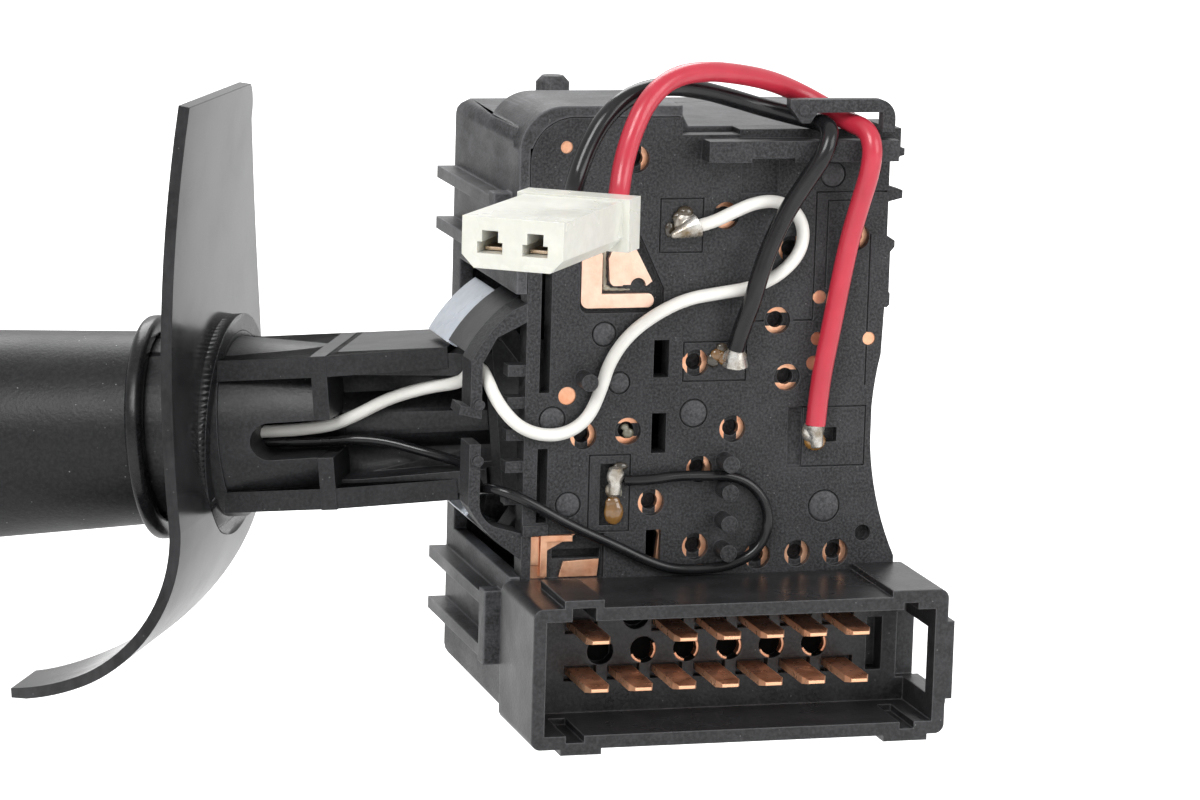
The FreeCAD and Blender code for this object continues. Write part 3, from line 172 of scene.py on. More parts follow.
def makeGrain():
    # two sizes of noise: the speck of filled plastic and slow variation over the piece
    tree, given, result = newGroup(
        "plasticGrain",
        [("Fine", "NodeSocketFloat", 3500), ("Slow", "NodeSocketFloat", 120)],
        [("Speck", "NodeSocketFloat"), ("Cloud", "NodeSocketFloat")],
    )
    place = tree.nodes.new("ShaderNodeTexCoord").outputs["Object"]
    for label, source in (("Speck", "Fine"), ("Cloud", "Slow")):
        noise = addNoise(tree, place, given.outputs[source], effects["grainDetail"], effects["grainRough"])
        tree.links.new(mapValue(tree, noise, (0, 1), effects[label.lower()]), result.inputs[label])
    return tree


def makeScuffs():
    # long faint rub marks along one direction, and scattered specks of dust
    tree, given, result = newGroup(
        "scuffs",
        [
            ("Stretch", "NodeSocketVector", (1, 1, 1)), ("Scale", "NodeSocketFloat", 200),
            ("Dust", "NodeSocketFloat", 900),
        ],
        [("Rub", "NodeSocketFloat"), ("Dust", "NodeSocketFloat")],
    )
    place = tree.nodes.new("ShaderNodeTexCoord").outputs["Object"]
    stretch = tree.nodes.new("ShaderNodeVectorMath")
    stretch.operation = "MULTIPLY"
    tree.links.new(place, stretch.inputs[0])
    tree.links.new(given.outputs["Stretch"], stretch.inputs[1])
    noise = addNoise(
        tree, stretch.outputs["Vector"], given.outputs["Scale"], effects["rubDetail"], effects["rubRough"],
    )
    tree.links.new(mapValue(tree, noise, (0, 1), effects["rub"]), result.inputs["Rub"])
    cells = tree.nodes.new("ShaderNodeTexVoronoi")
    cells.inputs["Randomness"].default_value = 1
    tree.links.new(place, cells.inputs["Vector"])
    tree.links.new(given.outputs["Dust"], cells.inputs["Scale"])
    dots = mapValue(tree, cells.outputs["Distance"], (0, 1), effects["dust"])
    split = tree.nodes.new("ShaderNodeSeparateColor")
    tree.links.new(cells.outputs["Color"], split.inputs["Color"])
    rare = addMath(tree, "GREATER_THAN", split.outputs["Red"], effects["dustRarity"])
    tree.links.new(addMath(tree, "MULTIPLY", dots, rare), result.inputs["Dust"])
    return tree


edgeRound = makeEdgeRound()
plasticGrain = makeGrain()
scuffs = makeScuffs()


def startMaterial(name):
    made = bpy.data.materials.new(name)
    made.use_nodes = True
    return made, made.node_tree, made.node_tree.nodes["Principled BSDF"]


def placeGroup(tree, group, **values):
    item = tree.nodes.new("ShaderNodeGroup")
    item.node_tree = group
    for label, value in values.items():
        item.inputs[label].default_value = value
    return item.outputs


def mixColour(tree, mask, low, high):
    # low and high are colours or sockets
    mix = tree.nodes.new("ShaderNodeMix")
    mix.data_type = "RGBA"
    tree.links.new(mask, mix.inputs["Factor"])
    for socket, value in ((mix.inputs[6], low), (mix.inputs[7], high)):
        if isinstance(value, tuple):
            socket.default_value = value
        else:
            tree.links.new(value, socket)
    return mix.outputs[2]


def addRelief(tree, shader, height, normal, strength, distance):
    relief = tree.nodes.new("ShaderNodeBump")
    relief.inputs["Strength"].default_value = strength
    relief.inputs["Distance"].default_value = distance / 1000
    tree.links.new(height, relief.inputs["Height"])
    if normal:
        tree.links.new(normal, relief.inputs["Normal"])
    tree.links.new(relief.outputs["Normal"], shader.inputs["Normal"])


# what the finishes of one kind share: scales of the patterns, radius of the edges and depth of the relief in mm
patterns = {
    "plastic": {"slow": 90, "rub": 260, "dust": 1300, "corner": 0.16, "depth": 0.04, "edgeWearAndHighlight": 0.8},
    "metal": {"slow": 420, "corner": 0.12, "depth": 0.03},
    "soft": {"slow": 200, "depth": 0.05},
    "dustGrey": colour(0.4, 0.4, 0.4),
}
# moulded plastics: colours of the ground, the speck, edges (wear and a painted highlight), rub marks and dust
plastics = {
    "filledNylon": {
        "ground": colour(0.012, 0.012, 0.013), "speck": colour(0.05, 0.05, 0.053),
        "edge": colour(0.1, 0.1, 0.105), "rub": colour(0.062, 0.062, 0.066), "rubShare": 0.35,
        "dustShare": 0.25, "rough": (0.42, 0.6), "bump": 0.55, "fine": 3400, "stretch": (1, 1, 1),
        "specular": 0.25,
    },
    "casingNylon": {
        "ground": colour(0.016, 0.016, 0.017), "speck": colour(0.055, 0.055, 0.059),
        "edge": colour(0.16, 0.16, 0.17), "rub": colour(0.11, 0.11, 0.12), "rubShare": 0.55, "dustShare": 0.3,
        "rough": (0.42, 0.6), "bump": 0.45, "fine": 3000, "stretch": (1, 1, 2.5), "specular": 0.4,
        "corner": 0.45,
    },
    "shroudNylon": {
        "ground": colour(0.008, 0.008, 0.009), "speck": colour(0.028, 0.028, 0.03),
        "edge": colour(0.12, 0.12, 0.125), "rub": colour(0.06, 0.06, 0.064), "rubShare": 0.35,
        "dustShare": 0.35, "rough": (0.24, 0.42), "bump": 0.25, "fine": 2600, "stretch": (0.4, 1, 1),
        "specular": 0.4, "corner": 0.25,
    },
    "stalkNylon": {
        "ground": colour(0.008, 0.008, 0.009), "speck": colour(0.022, 0.022, 0.024),
        "edge": colour(0.07, 0.07, 0.075), "rub": colour(0.04, 0.04, 0.043), "rubShare": 0.3,
        "dustShare": 0.25, "rough": (0.34, 0.5), "bump": 0.25, "fine": 2600, "stretch": (0.5, 1, 1),
        "specular": 0.3,
    },
    "acetal": {
        "ground": colour(0.011, 0.011, 0.012), "speck": colour(0.026, 0.026, 0.028),
        "edge": colour(0.09, 0.09, 0.095), "rub": colour(0.05, 0.05, 0.053), "rubShare": 0.3,
        "dustShare": 0.15, "rough": (0.28, 0.42), "bump": 0.2, "fine": 2600, "stretch": (1, 1, 1),
        "specular": 0.35,
    },
    "shieldGloss": {
        "ground": colour(0.012, 0.012, 0.013), "speck": colour(0.02, 0.02, 0.021),
        "edge": colour(0.03, 0.03, 0.032), "rub": colour(0.06, 0.06, 0.064), "rubShare": 0.5, "dustShare": 0.2,
        "rough": (0.12, 0.24), "bump": 0.04, "fine": 900, "stretch": (1, 1, 0.25), "specular": 0.6,
    },
    "satinBlack": {
        "ground": colour(0.007, 0.007, 0.008), "speck": colour(0.017, 0.017, 0.018),
        "edge": colour(0.05, 0.05, 0.053), "rub": colour(0.03, 0.03, 0.032), "rubShare": 0.25,
        "dustShare": 0.6, "rough": (0.36, 0.48), "bump": 0.3, "fine": 2400, "stretch": (0.5, 1, 1),
        "specular": 0.25,
    },
    # painted shade: the near-black of the discs that stand for the dark inside the bores
    "boreShadeBlack": {
        "ground": colour(0.002, 0.002, 0.002), "speck": colour(0.004, 0.004, 0.004),
        "edge": colour(0.006, 0.006, 0.006), "rub": colour(0.005, 0.005, 0.005), "rubShare": 0.3,
        "dustShare": 0, "rough": (0.7, 0.9), "bump": 0.1, "fine": 1800, "stretch": (1, 1, 1), "specular": 0.05,
    },
    "collarBlack": {
        "ground": colour(0.005, 0.005, 0.006), "speck": colour(0.012, 0.012, 0.013),
        "edge": colour(0.08, 0.08, 0.085), "rub": colour(0.03, 0.03, 0.032), "rubShare": 0.3, "dustShare": 0.4,
        "rough": (0.2, 0.34), "bump": 0.12, "fine": 1800, "stretch": (1, 1, 0.5), "specular": 0.3,
    },
    "stakeNylon": {
        "ground": colour(0.03, 0.03, 0.032), "speck": colour(0.08, 0.08, 0.085),
        "edge": colour(0.1, 0.1, 0.105), "rub": colour(0.09, 0.09, 0.095), "rubShare": 0.4, "dustShare": 0.1,
        "rough": (0.4, 0.55), "bump": 0.3, "fine": 3000, "stretch": (1, 1, 1), "specular": 0.3,
    },
    "naturalNylon": {
        "ground": colour(0.62, 0.62, 0.565), "speck": colour(0.67, 0.67, 0.61),
        "edge": colour(0.76, 0.76, 0.72), "rub": colour(0.57, 0.565, 0.5), "rubShare": 0.35, "dustShare": 0,
        "rough": (0.22, 0.36), "bump": 0.06, "fine": 700, "stretch": (1, 1, 1), "specular": 0.5,
    },
    "clearNylon": {
        "ground": colour(0.5, 0.54, 0.6), "speck": colour(0.56, 0.6, 0.66), "edge": colour(0.75, 0.78, 0.82),
        "rub": colour(0.4, 0.44, 0.5), "rubShare": 0.5, "dustShare": 0, "rough": (0.18, 0.32), "bump": 0.08,
        "fine": 700, "stretch": (1, 1, 3), "specular": 0.5,
    },
}
# metals: clean and tarnished colour, colour of the edges (rubbing and a painted highlight), roughness of the
# specks
metals = {
    "trackCopper": {
        "clean": colour(0.95, 0.56, 0.36), "stain": colour(0.72, 0.32, 0.18), "edge": colour(1, 0.62, 0.42),
        "rough": (0.3, 0.48), "bump": 0.2, "fine": 900, "metallic": (0.75, 0.95),
    },
    "padCopper": {
        "clean": colour(0.93, 0.66, 0.52), "stain": colour(0.82, 0.5, 0.37), "edge": colour(1, 0.75, 0.6),
        "rough": (0.34, 0.46), "bump": 0.4, "fine": 2200, "metallic": (0.85, 0.95),
    },
    "bladeCopper": {
        "clean": colour(0.62, 0.28, 0.16), "stain": colour(0.38, 0.15, 0.08), "edge": colour(1, 0.52, 0.3),
        "rough": (0.26, 0.42), "bump": 0.2, "fine": 900, "metallic": (0.5, 0.75),
    },
    "tinnedBrass": {
        "clean": colour(0.78, 0.62, 0.46), "stain": colour(0.55, 0.38, 0.25), "edge": colour(0.9, 0.75, 0.58),
        "rough": (0.18, 0.3), "bump": 0.15, "fine": 600, "metallic": (0.9, 1),
    },
    "solder": {
        "clean": colour(0.72, 0.71, 0.68), "stain": colour(0.16, 0.11, 0.05), "edge": colour(0.8, 0.79, 0.76),
        "rough": (0.18, 0.4), "bump": 0.5, "fine": 1200, "metallic": (1, 0.3),
    },
    "steel": {
        "clean": colour(0.56, 0.56, 0.58), "stain": colour(0.42, 0.42, 0.43), "edge": colour(0.68, 0.68, 0.7),
        "rough": (0.24, 0.4), "bump": 0.12, "fine": 600, "metallic": (0.95, 1),
    },
}
# insulation of the leads, greases and flux
softFinishes = {
    "redInsulation": {
        "base": colour(0.5, 0.026, 0.05), "shade": colour(0.42, 0.02, 0.038), "rough": (0.28, 0.4),
        "bump": 0.14, "fine": 900, "coat": 0.15,
    },
    "blackInsulation": {
        "base": colour(0.006, 0.006, 0.007), "shade": colour(0.014, 0.014, 0.015), "rough": (0.16, 0.26),
        "bump": 0.14, "fine": 900, "coat": 0, "specular": 0.35,
    },
    "whiteInsulation": {
        "base": colour(0.83, 0.82, 0.78), "shade": colour(0.74, 0.73, 0.68), "rough": (0.35, 0.5),
        "bump": 0.12, "fine": 900, "coat": 0.05,
    },
    "grease": {
        "base": colour(0.34, 0.33, 0.26), "shade": colour(0.14, 0.13, 0.09), "rough": (0.12, 0.25),
        "bump": 0.5, "fine": 2600, "coat": 0.5,
    },
    "amberFlux": {
        "base": colour(0.3, 0.15, 0.035), "shade": colour(0.07, 0.03, 0.01), "rough": (0.08, 0.2), "bump": 0.3,
        "fine": 1500, "coat": 0.8,
    },
    "darkFlux": {
        "base": colour(0.02, 0.017, 0.013), "shade": colour(0.08, 0.06, 0.035), "rough": (0.12, 0.3),
        "bump": 0.4, "fine": 1800, "coat": 0.6,
    },
}


def plasticFinish(name):
    facts, shared = plastics[name], patterns["plastic"]
    made, tree, shader = startMaterial(name)
    edges = placeGroup(tree, edgeRound, Radius=facts.get("corner", shared["corner"]) / 1000)
    grain = placeGroup(tree, plasticGrain, Fine=facts["fine"], Slow=shared["slow"])
    marks = placeGroup(tree, scuffs, Stretch=facts["stretch"], Scale=shared["rub"], Dust=shared["dust"])
    body = mixColour(tree, grain["Speck"], facts["ground"], facts["speck"])
    rubbed = mixColour(tree, mapValue(tree, marks["Rub"], (0, facts["rubShare"])), body, facts["rub"])
    # edges are lightened: partly wear, partly a painted highlight
    edgeWearAndHighlight = mixColour(tree, mapValue(tree, edges["Edge"], (0, shared["edgeWearAndHighlight"])), rubbed, facts["edge"])
    dusty = mixColour(tree, mapValue(tree, marks["Dust"], (0, facts["dustShare"])), edgeWearAndHighlight, patterns["dustGrey"])
    tree.links.new(dusty, shader.inputs["Base Color"])
    tree.links.new(mapValue(tree, grain["Cloud"], facts["rough"]), shader.inputs["Roughness"])
    shader.inputs["Specular IOR Level"].default_value = facts["specular"]
    addRelief(tree, shader, grain["Speck"], edges["Normal"], facts["bump"], shared["depth"])
    return made


def metalFinish(name):
    facts, shared = metals[name], patterns["metal"]
    made, tree, shader = startMaterial(name)
    edges = placeGroup(tree, edgeRound, Radius=shared["corner"] / 1000)
    grain = placeGroup(tree, plasticGrain, Fine=facts["fine"], Slow=shared["slow"])
    tint = mixColour(tree, grain["Cloud"], facts["clean"], facts["stain"])
    # edges are lightened: partly rubbing, partly a painted highlight
    tree.links.new(mixColour(tree, edges["Edge"], tint, facts["edge"]), shader.inputs["Base Color"])
    tree.links.new(mapValue(tree, grain["Cloud"], facts["metallic"]), shader.inputs["Metallic"])
    tree.links.new(mapValue(tree, grain["Speck"], facts["rough"]), shader.inputs["Roughness"])
    addRelief(tree, shader, grain["Speck"], edges["Normal"], facts["bump"], shared["depth"])
    return made


def softFinish(name):
    facts, shared = softFinishes[name], patterns["soft"]
    made, tree, shader = startMaterial(name)
    grain = placeGroup(tree, plasticGrain, Fine=facts["fine"], Slow=shared["slow"])
    tree.links.new(mixColour(tree, grain["Cloud"], facts["base"], facts["shade"]), shader.inputs["Base Color"])
    tree.links.new(mapValue(tree, grain["Speck"], facts["rough"]), shader.inputs["Roughness"])
    shader.inputs["Coat Weight"].default_value = facts["coat"]
    shader.inputs["Specular IOR Level"].default_value = facts.get("specular", 0.5)
    addRelief(tree, shader, grain["Cloud"], None, facts["bump"], shared["depth"])
    return made


finish = {name: plasticFinish(name) for name in plastics}
finish.update({name: metalFinish(name) for name in metals})
finish.update({name: softFinish(name) for name in softFinishes})

# how far light sinks into the pale plastics, in mm for red, green and blue
glow = {"share": 0.5, "depths": {"naturalNylon": (1.2, 1.1, 0.8), "clearNylon": (1.0, 1.1, 1.3)}}
# painted sheen on the shield's sheet: its reflection is set weak at the near edge and strong at the far side by
# place, standing in for the light its far side throws back
sheet = {"finish": "shieldGloss", "span": (-0.021, 0.009), "paintedSheen": (0.15, 0.95)}
# the blades keep their copper colour on their rolled faces; their side and tip faces, where they were cut, are
# painted bright copper as a painted highlight
bladeEdgeHighlight = {"finish": "bladeCopper", "across": "Z", "limit": 0.5, "share": 0.85, "bright": colour(1, 0.56, 0.34)}


def addGlow(name, depth):
    shader = finish[name].node_tree.nodes["Principled BSDF"]
    shader.inputs["Subsurface Weight"].default_value = glow["share"]
    shader.inputs["Subsurface Radius"].default_value = [part / 1000 for part in depth]


def splitCoordinate(tree, output):
    place = tree.nodes.new("ShaderNodeTexCoord")
    split = tree.nodes.new("ShaderNodeSeparateXYZ")
    tree.links.new(place.outputs[output], split.inputs["Vector"])
    return split.outputs


# the sheet's specular level rises across it by place: a painted sheen
def paintSheetSheen():
    tree = finish[sheet["finish"]].node_tree
    paintedSheen = mapValue(tree, splitCoordinate(tree, "Object")["Y"], sheet["paintedSheen"], sheet["span"])
    tree.links.new(paintedSheen, tree.nodes["Principled BSDF"].inputs["Specular IOR Level"])


def paintBladeEdgeHighlight():
    tree = finish[bladeEdgeHighlight["finish"]].node_tree
    base = tree.nodes["Principled BSDF"].inputs["Base Color"]
    tilt = addMath(tree, "ABSOLUTE", splitCoordinate(tree, "Normal")[bladeEdgeHighlight["across"]])
    cut = addMath(tree, "LESS_THAN", tilt, bladeEdgeHighlight["limit"])
    dull = base.links[0].from_socket
    # faces that don't face up or down get a painted highlight colour
    tree.links.new(mixColour(tree, mapValue(tree, cut, (0, bladeEdgeHighlight["share"])), dull, bladeEdgeHighlight["bright"]), base)


for glowName in glow["depths"]:
    addGlow(glowName, glow["depths"][glowName])
paintSheetSheen()
paintBladeEdgeHighlight()

nodeFinish = {
    "contact_plate": "filledNylon", "connector_shroud": "shroudNylon", "front_casing": "casingNylon",
    "cable_hook": "filledNylon", "wire_bracket": "filledNylon", "upper_blades": "bladeCopper",
    "lower_blades": "bladeCopper", "lead_frame": "trackCopper", "copper_pad": "padCopper",
    "lower_contact": "trackCopper", "detent_block": "acetal", "pawl_pin": "steel",
    "plug_housing": "naturalNylon", "plug_terminals": "tinnedBrass", "turn_carrier": "acetal",
    "sector_shutter": "clearNylon", "flash_pin": "steel", "detent_spring": "steel", "stalk_core": "stalkNylon",
    "slot_shield": "shieldGloss", "shield_collar": "collarBlack", "stop_flange": "collarBlack",
    "stalk_grip": "satinBlack", "horn_rings": "tinnedBrass", "fog_ring": "satinBlack",
    "light_knob": "satinBlack", "light_rod": "steel", "knob_drive_pin": "steel", "horn_spring": "steel",
    "horn_button": "satinBlack", "horn_bridge": "tinnedBrass", "detent_plunger": "acetal",
    "cancel_pawl": "acetal", "solder_joints": "solder",
}
for nodeName, finishName in nodeFinish.items():
    nodes[nodeName].data.materials.clear()
    nodes[nodeName].data.materials.append(finish[finishName])
print("finishes done")

# the photo's viewpoint: place in m, angles in degrees, lens and film in mm
camera = {
    "place": (-0.1386141, -0.5168496, 0.0972054),
    "azimuth": -15.8632,
    "elevation": 10.4811,
    "roll": 1.6348,
    "lens": 136.933,
    "film": 36,
    "nearest": 0.01,
}


def makeCamera():
    bpy.ops.object.camera_add()
    made = bpy.context.object
    made.name = "photoCamera"
    side = math.radians(camera["azimuth"])
    rise = math.radians(camera["elevation"])
    look = -Vector((math.sin(side) * math.cos(rise), -math.cos(side) * math.cos(rise), math.sin(rise)))
    right = look.cross(Vector((0, 0, 1))).normalized()
    up = right.cross(look)
    turn = Matrix((right, up, -look)).transposed()
    roll = Matrix.Rotation(math.radians(camera["roll"]), 3, "Z")
    made.matrix_world = Matrix.Translation(camera["place"]) @ (turn @ roll).to_4x4()
    made.data.sensor_width = camera["film"]
    made.data.lens = camera["lens"]
    made.data.clip_start = camera["nearest"]
    bpy.context.scene.camera = made


deselectAll()
makeCamera()

# lamps: place in m, power in W and width in m
studio = {
    "worldLight": 0.55, "mirrored": 0.8, "aim": (0, -0.02, 0),
    "lamps": {
        "keyLamp": ((-0.55, -0.75, 0.75), 9.0, 0.5),
        "fillLamp": ((0.65, -0.7, 0.35), 4.5, 0.6),
        "backLamp": ((0.1, 0.6, 0.7), 6.0, 0.6),
    },
    "floorLevel": -0.05, "floorSize": 3, "floorColour": colour(0.93, 0.93, 0.93), "floorRough": 0.7,
    "floorLift": 0.55,
}


def makeWorld():
    world = bpy.data.worlds.new("studioWorld")
    world.use_nodes = True
    bpy.context.scene.world = world
    tree = world.node_tree
    plainLight = tree.nodes["Background"]
    plainLight.inputs["Color"].default_value = colour(1, 1, 1)
    plainLight.inputs["Strength"].default_value = studio["worldLight"]
    seenWhite = tree.nodes.new("ShaderNodeBackground")
    seenWhite.inputs["Color"].default_value = colour(1, 1, 1)
    rays = tree.nodes.new("ShaderNodeLightPath").outputs
    mirrored = studio["mirrored"]  # what shines back is a little darker than the backdrop itself
    level = addMath(tree, "MULTIPLY_ADD", rays["Is Camera Ray"], 1 - mirrored, mirrored)
    tree.links.new(level, seenWhite.inputs["Strength"])
    seen = addMath(tree, "MAXIMUM", rays["Is Camera Ray"], rays["Is Transmission Ray"])
    seen = addMath(tree, "MAXIMUM", seen, rays["Is Glossy Ray"])
    mix = tree.nodes.new("ShaderNodeMixShader")
    tree.links.new(seen, mix.inputs["Fac"])
    tree.links.new(plainLight.outputs["Background"], mix.inputs[1])
    tree.links.new(seenWhite.outputs["Background"], mix.inputs[2])
    tree.links.new(mix.outputs["Shader"], tree.nodes["World Output"].inputs["Surface"])


def makeLamp(name):
    place, power, width = studio["lamps"][name]
    bpy.ops.object.light_add(type="AREA", location=place)
    lamp = bpy.context.object
    lamp.name = name
    lamp.data.energy = power
    lamp.data.size = width
    aim = Vector(studio["aim"]) - Vector(place)
    lamp.rotation_euler = aim.to_track_quat("-Z", "Y").to_euler()


def makeFloor():
    bpy.ops.mesh.primitive_plane_add(size=studio["floorSize"], location=(0, 0, studio["floorLevel"]))
    floor = bpy.context.object
    floor.name = "floor"
    settle()
    made, tree, shader = startMaterial("floorWhite")
    shader.inputs["Base Color"].default_value = studio["floorColour"]
    shader.inputs["Roughness"].default_value = studio["floorRough"]
    rays = tree.nodes.new("ShaderNodeLightPath").outputs
    shader.inputs["Emission Color"].default_value = colour(1, 1, 1)
    lift = addMath(tree, "MULTIPLY", rays["Is Camera Ray"], studio["floorLift"])
    tree.links.new(lift, shader.inputs["Emission Strength"])
    floor.data.materials.append(made)


makeWorld()
for lampName in studio["lamps"]:
    makeLamp(lampName)
makeFloor()
bpy.context.scene.view_settings.view_transform = "Standard"
print("studio done")

# how the lumps of solder, flux and grease are made and melted together, mm
melt = {"sides": 32, "splits": 3, "shake": 0.02, "seed": 3, "relax": 0.5, "rounds": 9}


def makeSmear(name, lumps, cones, finishName, cell):
    # overlapping flattened lumps (x, z, front, half width, half height, half depth in mm)
    # and cones (foot, foot radius, tip, tip radius in mm), melted into one skin
    deselectAll()
    made = []
    for foot, footRadius, tip, tipRadius in cones:
        low, high = Vector(foot) / 1000, Vector(tip) / 1000
        bpy.ops.mesh.primitive_cone_add(
            vertices=melt["sides"], radius1=footRadius / 1000, radius2=tipRadius / 1000, depth=(high - low).length,
            location=(low + high) / 2, rotation=(high - low).to_track_quat("Z", "Y").to_euler(),
        )
        made.append(bpy.context.object)
    for x, z, front, wide, high, deep in lumps:
        bpy.ops.mesh.primitive_ico_sphere_add(
            subdivisions=melt["splits"], radius=0.001, location=(x / 1000, front / 1000, z / 1000),
        )
        bpy.ops.object.mode_set(mode="EDIT")
        bpy.ops.mesh.select_all(action="SELECT")
        bpy.ops.transform.resize(value=(wide, deep, high))
        bpy.ops.transform.vertex_random(offset=melt["shake"] / 1000, seed=len(made) + melt["seed"])
        endEdit()
        made.append(bpy.context.object)
    smear = joined(made, name)
    settle()
    applyStep(smear, "REMESH", mode="VOXEL", voxel_size=cell / 1000)
    applyStep(smear, "SMOOTH", factor=melt["relax"], iterations=melt["rounds"])
    bpy.ops.object.shade_smooth()
    smear.data.materials.append(finish[finishName])
    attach(smear, "housing")
    return smear


# solder cones, the flux round them and dabs of contact grease; plate face at y = -30
dabs = {
    "solderCones": {
        "finish": "solder", "cell": 0.08, "slot": "solder",
        "cones": [
            ((10.3, -30.7, 23.5), 1.45, (7.2, -31.1, 22.3), 0.3),
            ((15.3, -30.8, 7.3), 1.5, (15.2, -31.3, 10.0), 0.75),
            ((24.9, -30.9, 0.5), 1.15, (25.4, -30.7, -2.3), 0.75),
            ((1.7, -30.4, -4.2), 0.8, (1.6, -30.4, -7.3), 0.75),
        ],
        "lumps": [
            (8.9, 23.6, -30.3, 1.2, 1.5, 0.8), (15.3, 8.2, -30.4, 1.5, 1.1, 0.9),
            (24.9, -0.6, -30.6, 1.3, 1.3, 0.9), (1.7, -5.2, -30.4, 1.05, 1.2, 0.75),
            (1.5, -6.8, -30.2, 0.95, 0.9, 0.55),
        ],
    },
    "amberFluxPools": {
        "finish": "amberFlux", "cell": 0.08, "slot": "solder", "cones": [],
        "lumps": [
            (1.7, -9.4, -30.05, 1.15, 1.5, 0.6), (1.55, -8.3, -30.05, 0.9, 0.8, 0.45),
            (25.3, -1.7, -30.35, 1.3, 1.15, 0.9), (13.4, 8.5, -30.15, 0.9, 0.75, 0.45),
            (14.2, 7.8, -30.2, 0.7, 0.5, 0.5),
        ],
    },
    "darkFluxLumps": {
        "finish": "darkFlux", "cell": 0.08, "slot": "solder", "cones": [],
        "lumps": [
            (9.0, 24.9, -30.2, 0.95, 0.75, 0.8), (8.6, 24.2, -30.2, 1.1, 0.9, 0.5),
            (7.3, 22.9, -30.0, 0.6, 0.9, 0.3), (12.9, 7.9, -30.05, 0.8, 0.9, 0.4),
            (13.9, 9.3, -30.1, 0.7, 0.6, 0.4), (26.1, -0.2, -30.1, 0.5, 0.9, 0.4),
            (2.3, -4.1, -30.1, 0.9, 0.5, 0.4),
        ],
    },
    "greaseDabs": {
        "finish": "grease", "cell": 0.07, "slot": "solder", "cones": [],
        "lumps": [
            (0.05, 21.0, -29.0, 0.3, 0.6, 0.25), (0.0, 20.0, -29.0, 0.3, 0.7, 0.28),
            (0.05, 19.0, -29.05, 0.28, 0.7, 0.25), (0.05, 18.0, -29.0, 0.3, 0.7, 0.3),
            (0.1, 17.0, -29.0, 0.32, 0.7, 0.25), (0.3, 16.2, -29.05, 0.5, 0.35, 0.3),
            (1.2, 16.05, -29.0, 0.7, 0.25, 0.25), (2.1, 16.0, -29.0, 0.7, 0.22, 0.22),
            (2.9, 16.0, -28.95, 0.5, 0.2, 0.2), (2.6, -5.4, -30.05, 0.16, 0.5, 0.14),
            (2.45, -6.3, -30.05, 0.14, 0.6, 0.12), (2.5, -7.2, -30.05, 0.14, 0.5, 0.12),
            (3.4, -0.5, -29.1, 0.7, 0.6, 0.35), (3.0, 0.2, -29.0, 0.5, 0.4, 0.3),
        ],
    },
}
for dabName, facts in dabs.items():
    dab = makeSmear(dabName, facts["lumps"], facts["cones"], facts["finish"], facts["cell"])
    if dabName == "solderCones":
        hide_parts("solder_joints")
print("solder and grease done")

# the row of small bores in the connector floor: bare copper on their walls, and near-black discs at their ends as
# painted shade for the dark inside the deep bores, mm
floorBores = {
    "first": -0.7, "pitch": 5.08, "count": 6, "height": -24.45, "front": -34.3, "depth": 1.1, "radius": 1.42,
    "arcs": ((200, 262), (-48, 28)), "thick": 0.3, "sides": 48,
    "spare": (3.38, -20.4), "endMiddle": -33.05, "endThick": 0.3, "endEdge": 0.08, "endSides": 32,
}


def makeFloorArcs():
    facts = floorBores
    deselectAll()
    made = []
    for number in range(facts["count"]):
        middle = facts["first"] + facts["pitch"] * number
        bpy.ops.mesh.primitive_cylinder_add(
            vertices=facts["sides"], radius=facts["radius"] / 1000, depth=facts["depth"] / 1000,
            location=(middle / 1000, (facts["front"] + facts["depth"] / 2) / 1000, facts["height"] / 1000),
            rotation=(math.radians(90), 0, 0), end_fill_type="NOTHING",
        )
        ring = bpy.context.object
        settle()
        for face in ring.data.polygons:  # only the arcs stay
            turn = math.degrees(math.atan2(face.center.z - facts["height"] / 1000, face.center.x - middle / 1000))
            kept = any(low <= turn <= high or low <= turn + 360 <= high for low, high in facts["arcs"])
            face.select = not kept
        startEdit("FACE")
        bpy.ops.mesh.delete(type="FACE")
        endEdit()
        made.append(ring)
    arcs = joined(made, "floorArcs")
    applyStep(arcs, "SOLIDIFY", thickness=facts["thick"] / 1000, offset=0)
    arcs.data.materials.append(finish["trackCopper"])
    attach(arcs, "housing")


# a near-black disc at the end of each bore is painted shade for the dark of the deep bore
def makeBoreShadeDiscs():
    facts = floorBores
    deselectAll()
    places = [(facts["first"] + facts["pitch"] * number, facts["height"]) for number in range(facts["count"])]
    places.append(facts["spare"])
    made = []
    for middle, height in places:
        bpy.ops.mesh.primitive_cylinder_add(
            vertices=facts["endSides"], radius=facts["radius"] / 1000, depth=facts["endThick"] / 1000,
            location=(middle / 1000, facts["endMiddle"] / 1000, height / 1000), rotation=(math.radians(90), 0, 0),
        )
        made.insert(0, bpy.context.object)
    shadeDiscs = joined(made, "boreShadeDiscs")
    settle()
    bpy.ops.object.mode_set(mode="EDIT")
    bpy.ops.mesh.select_all(action="SELECT")
    bpy.ops.mesh.bevel(offset=facts["endEdge"] / 1000, segments=2)
    endEdit()
    shadeDiscs.data.materials.append(finish["boreShadeBlack"])
    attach(shadeDiscs, "housing")


makeFloorArcs()
makeBoreShadeDiscs()
print("connector floor done")

# flat connector blades with a tapered tip, cut from sheet, mm; the upper row's second place is empty
blades = {
    "first": -3.0, "pitch": 5.08, "upper": -21.4, "lower": -26.9, "front": -42.8, "root": -31.0,
    "width": 2.8, "thick": 0.8, "taper": 1.1, "tipWidth": 1.9, "tipThick": 0.42, "edge": 0.07,
    "columns": 7, "rows": 2, "empty": (0, 1),
}


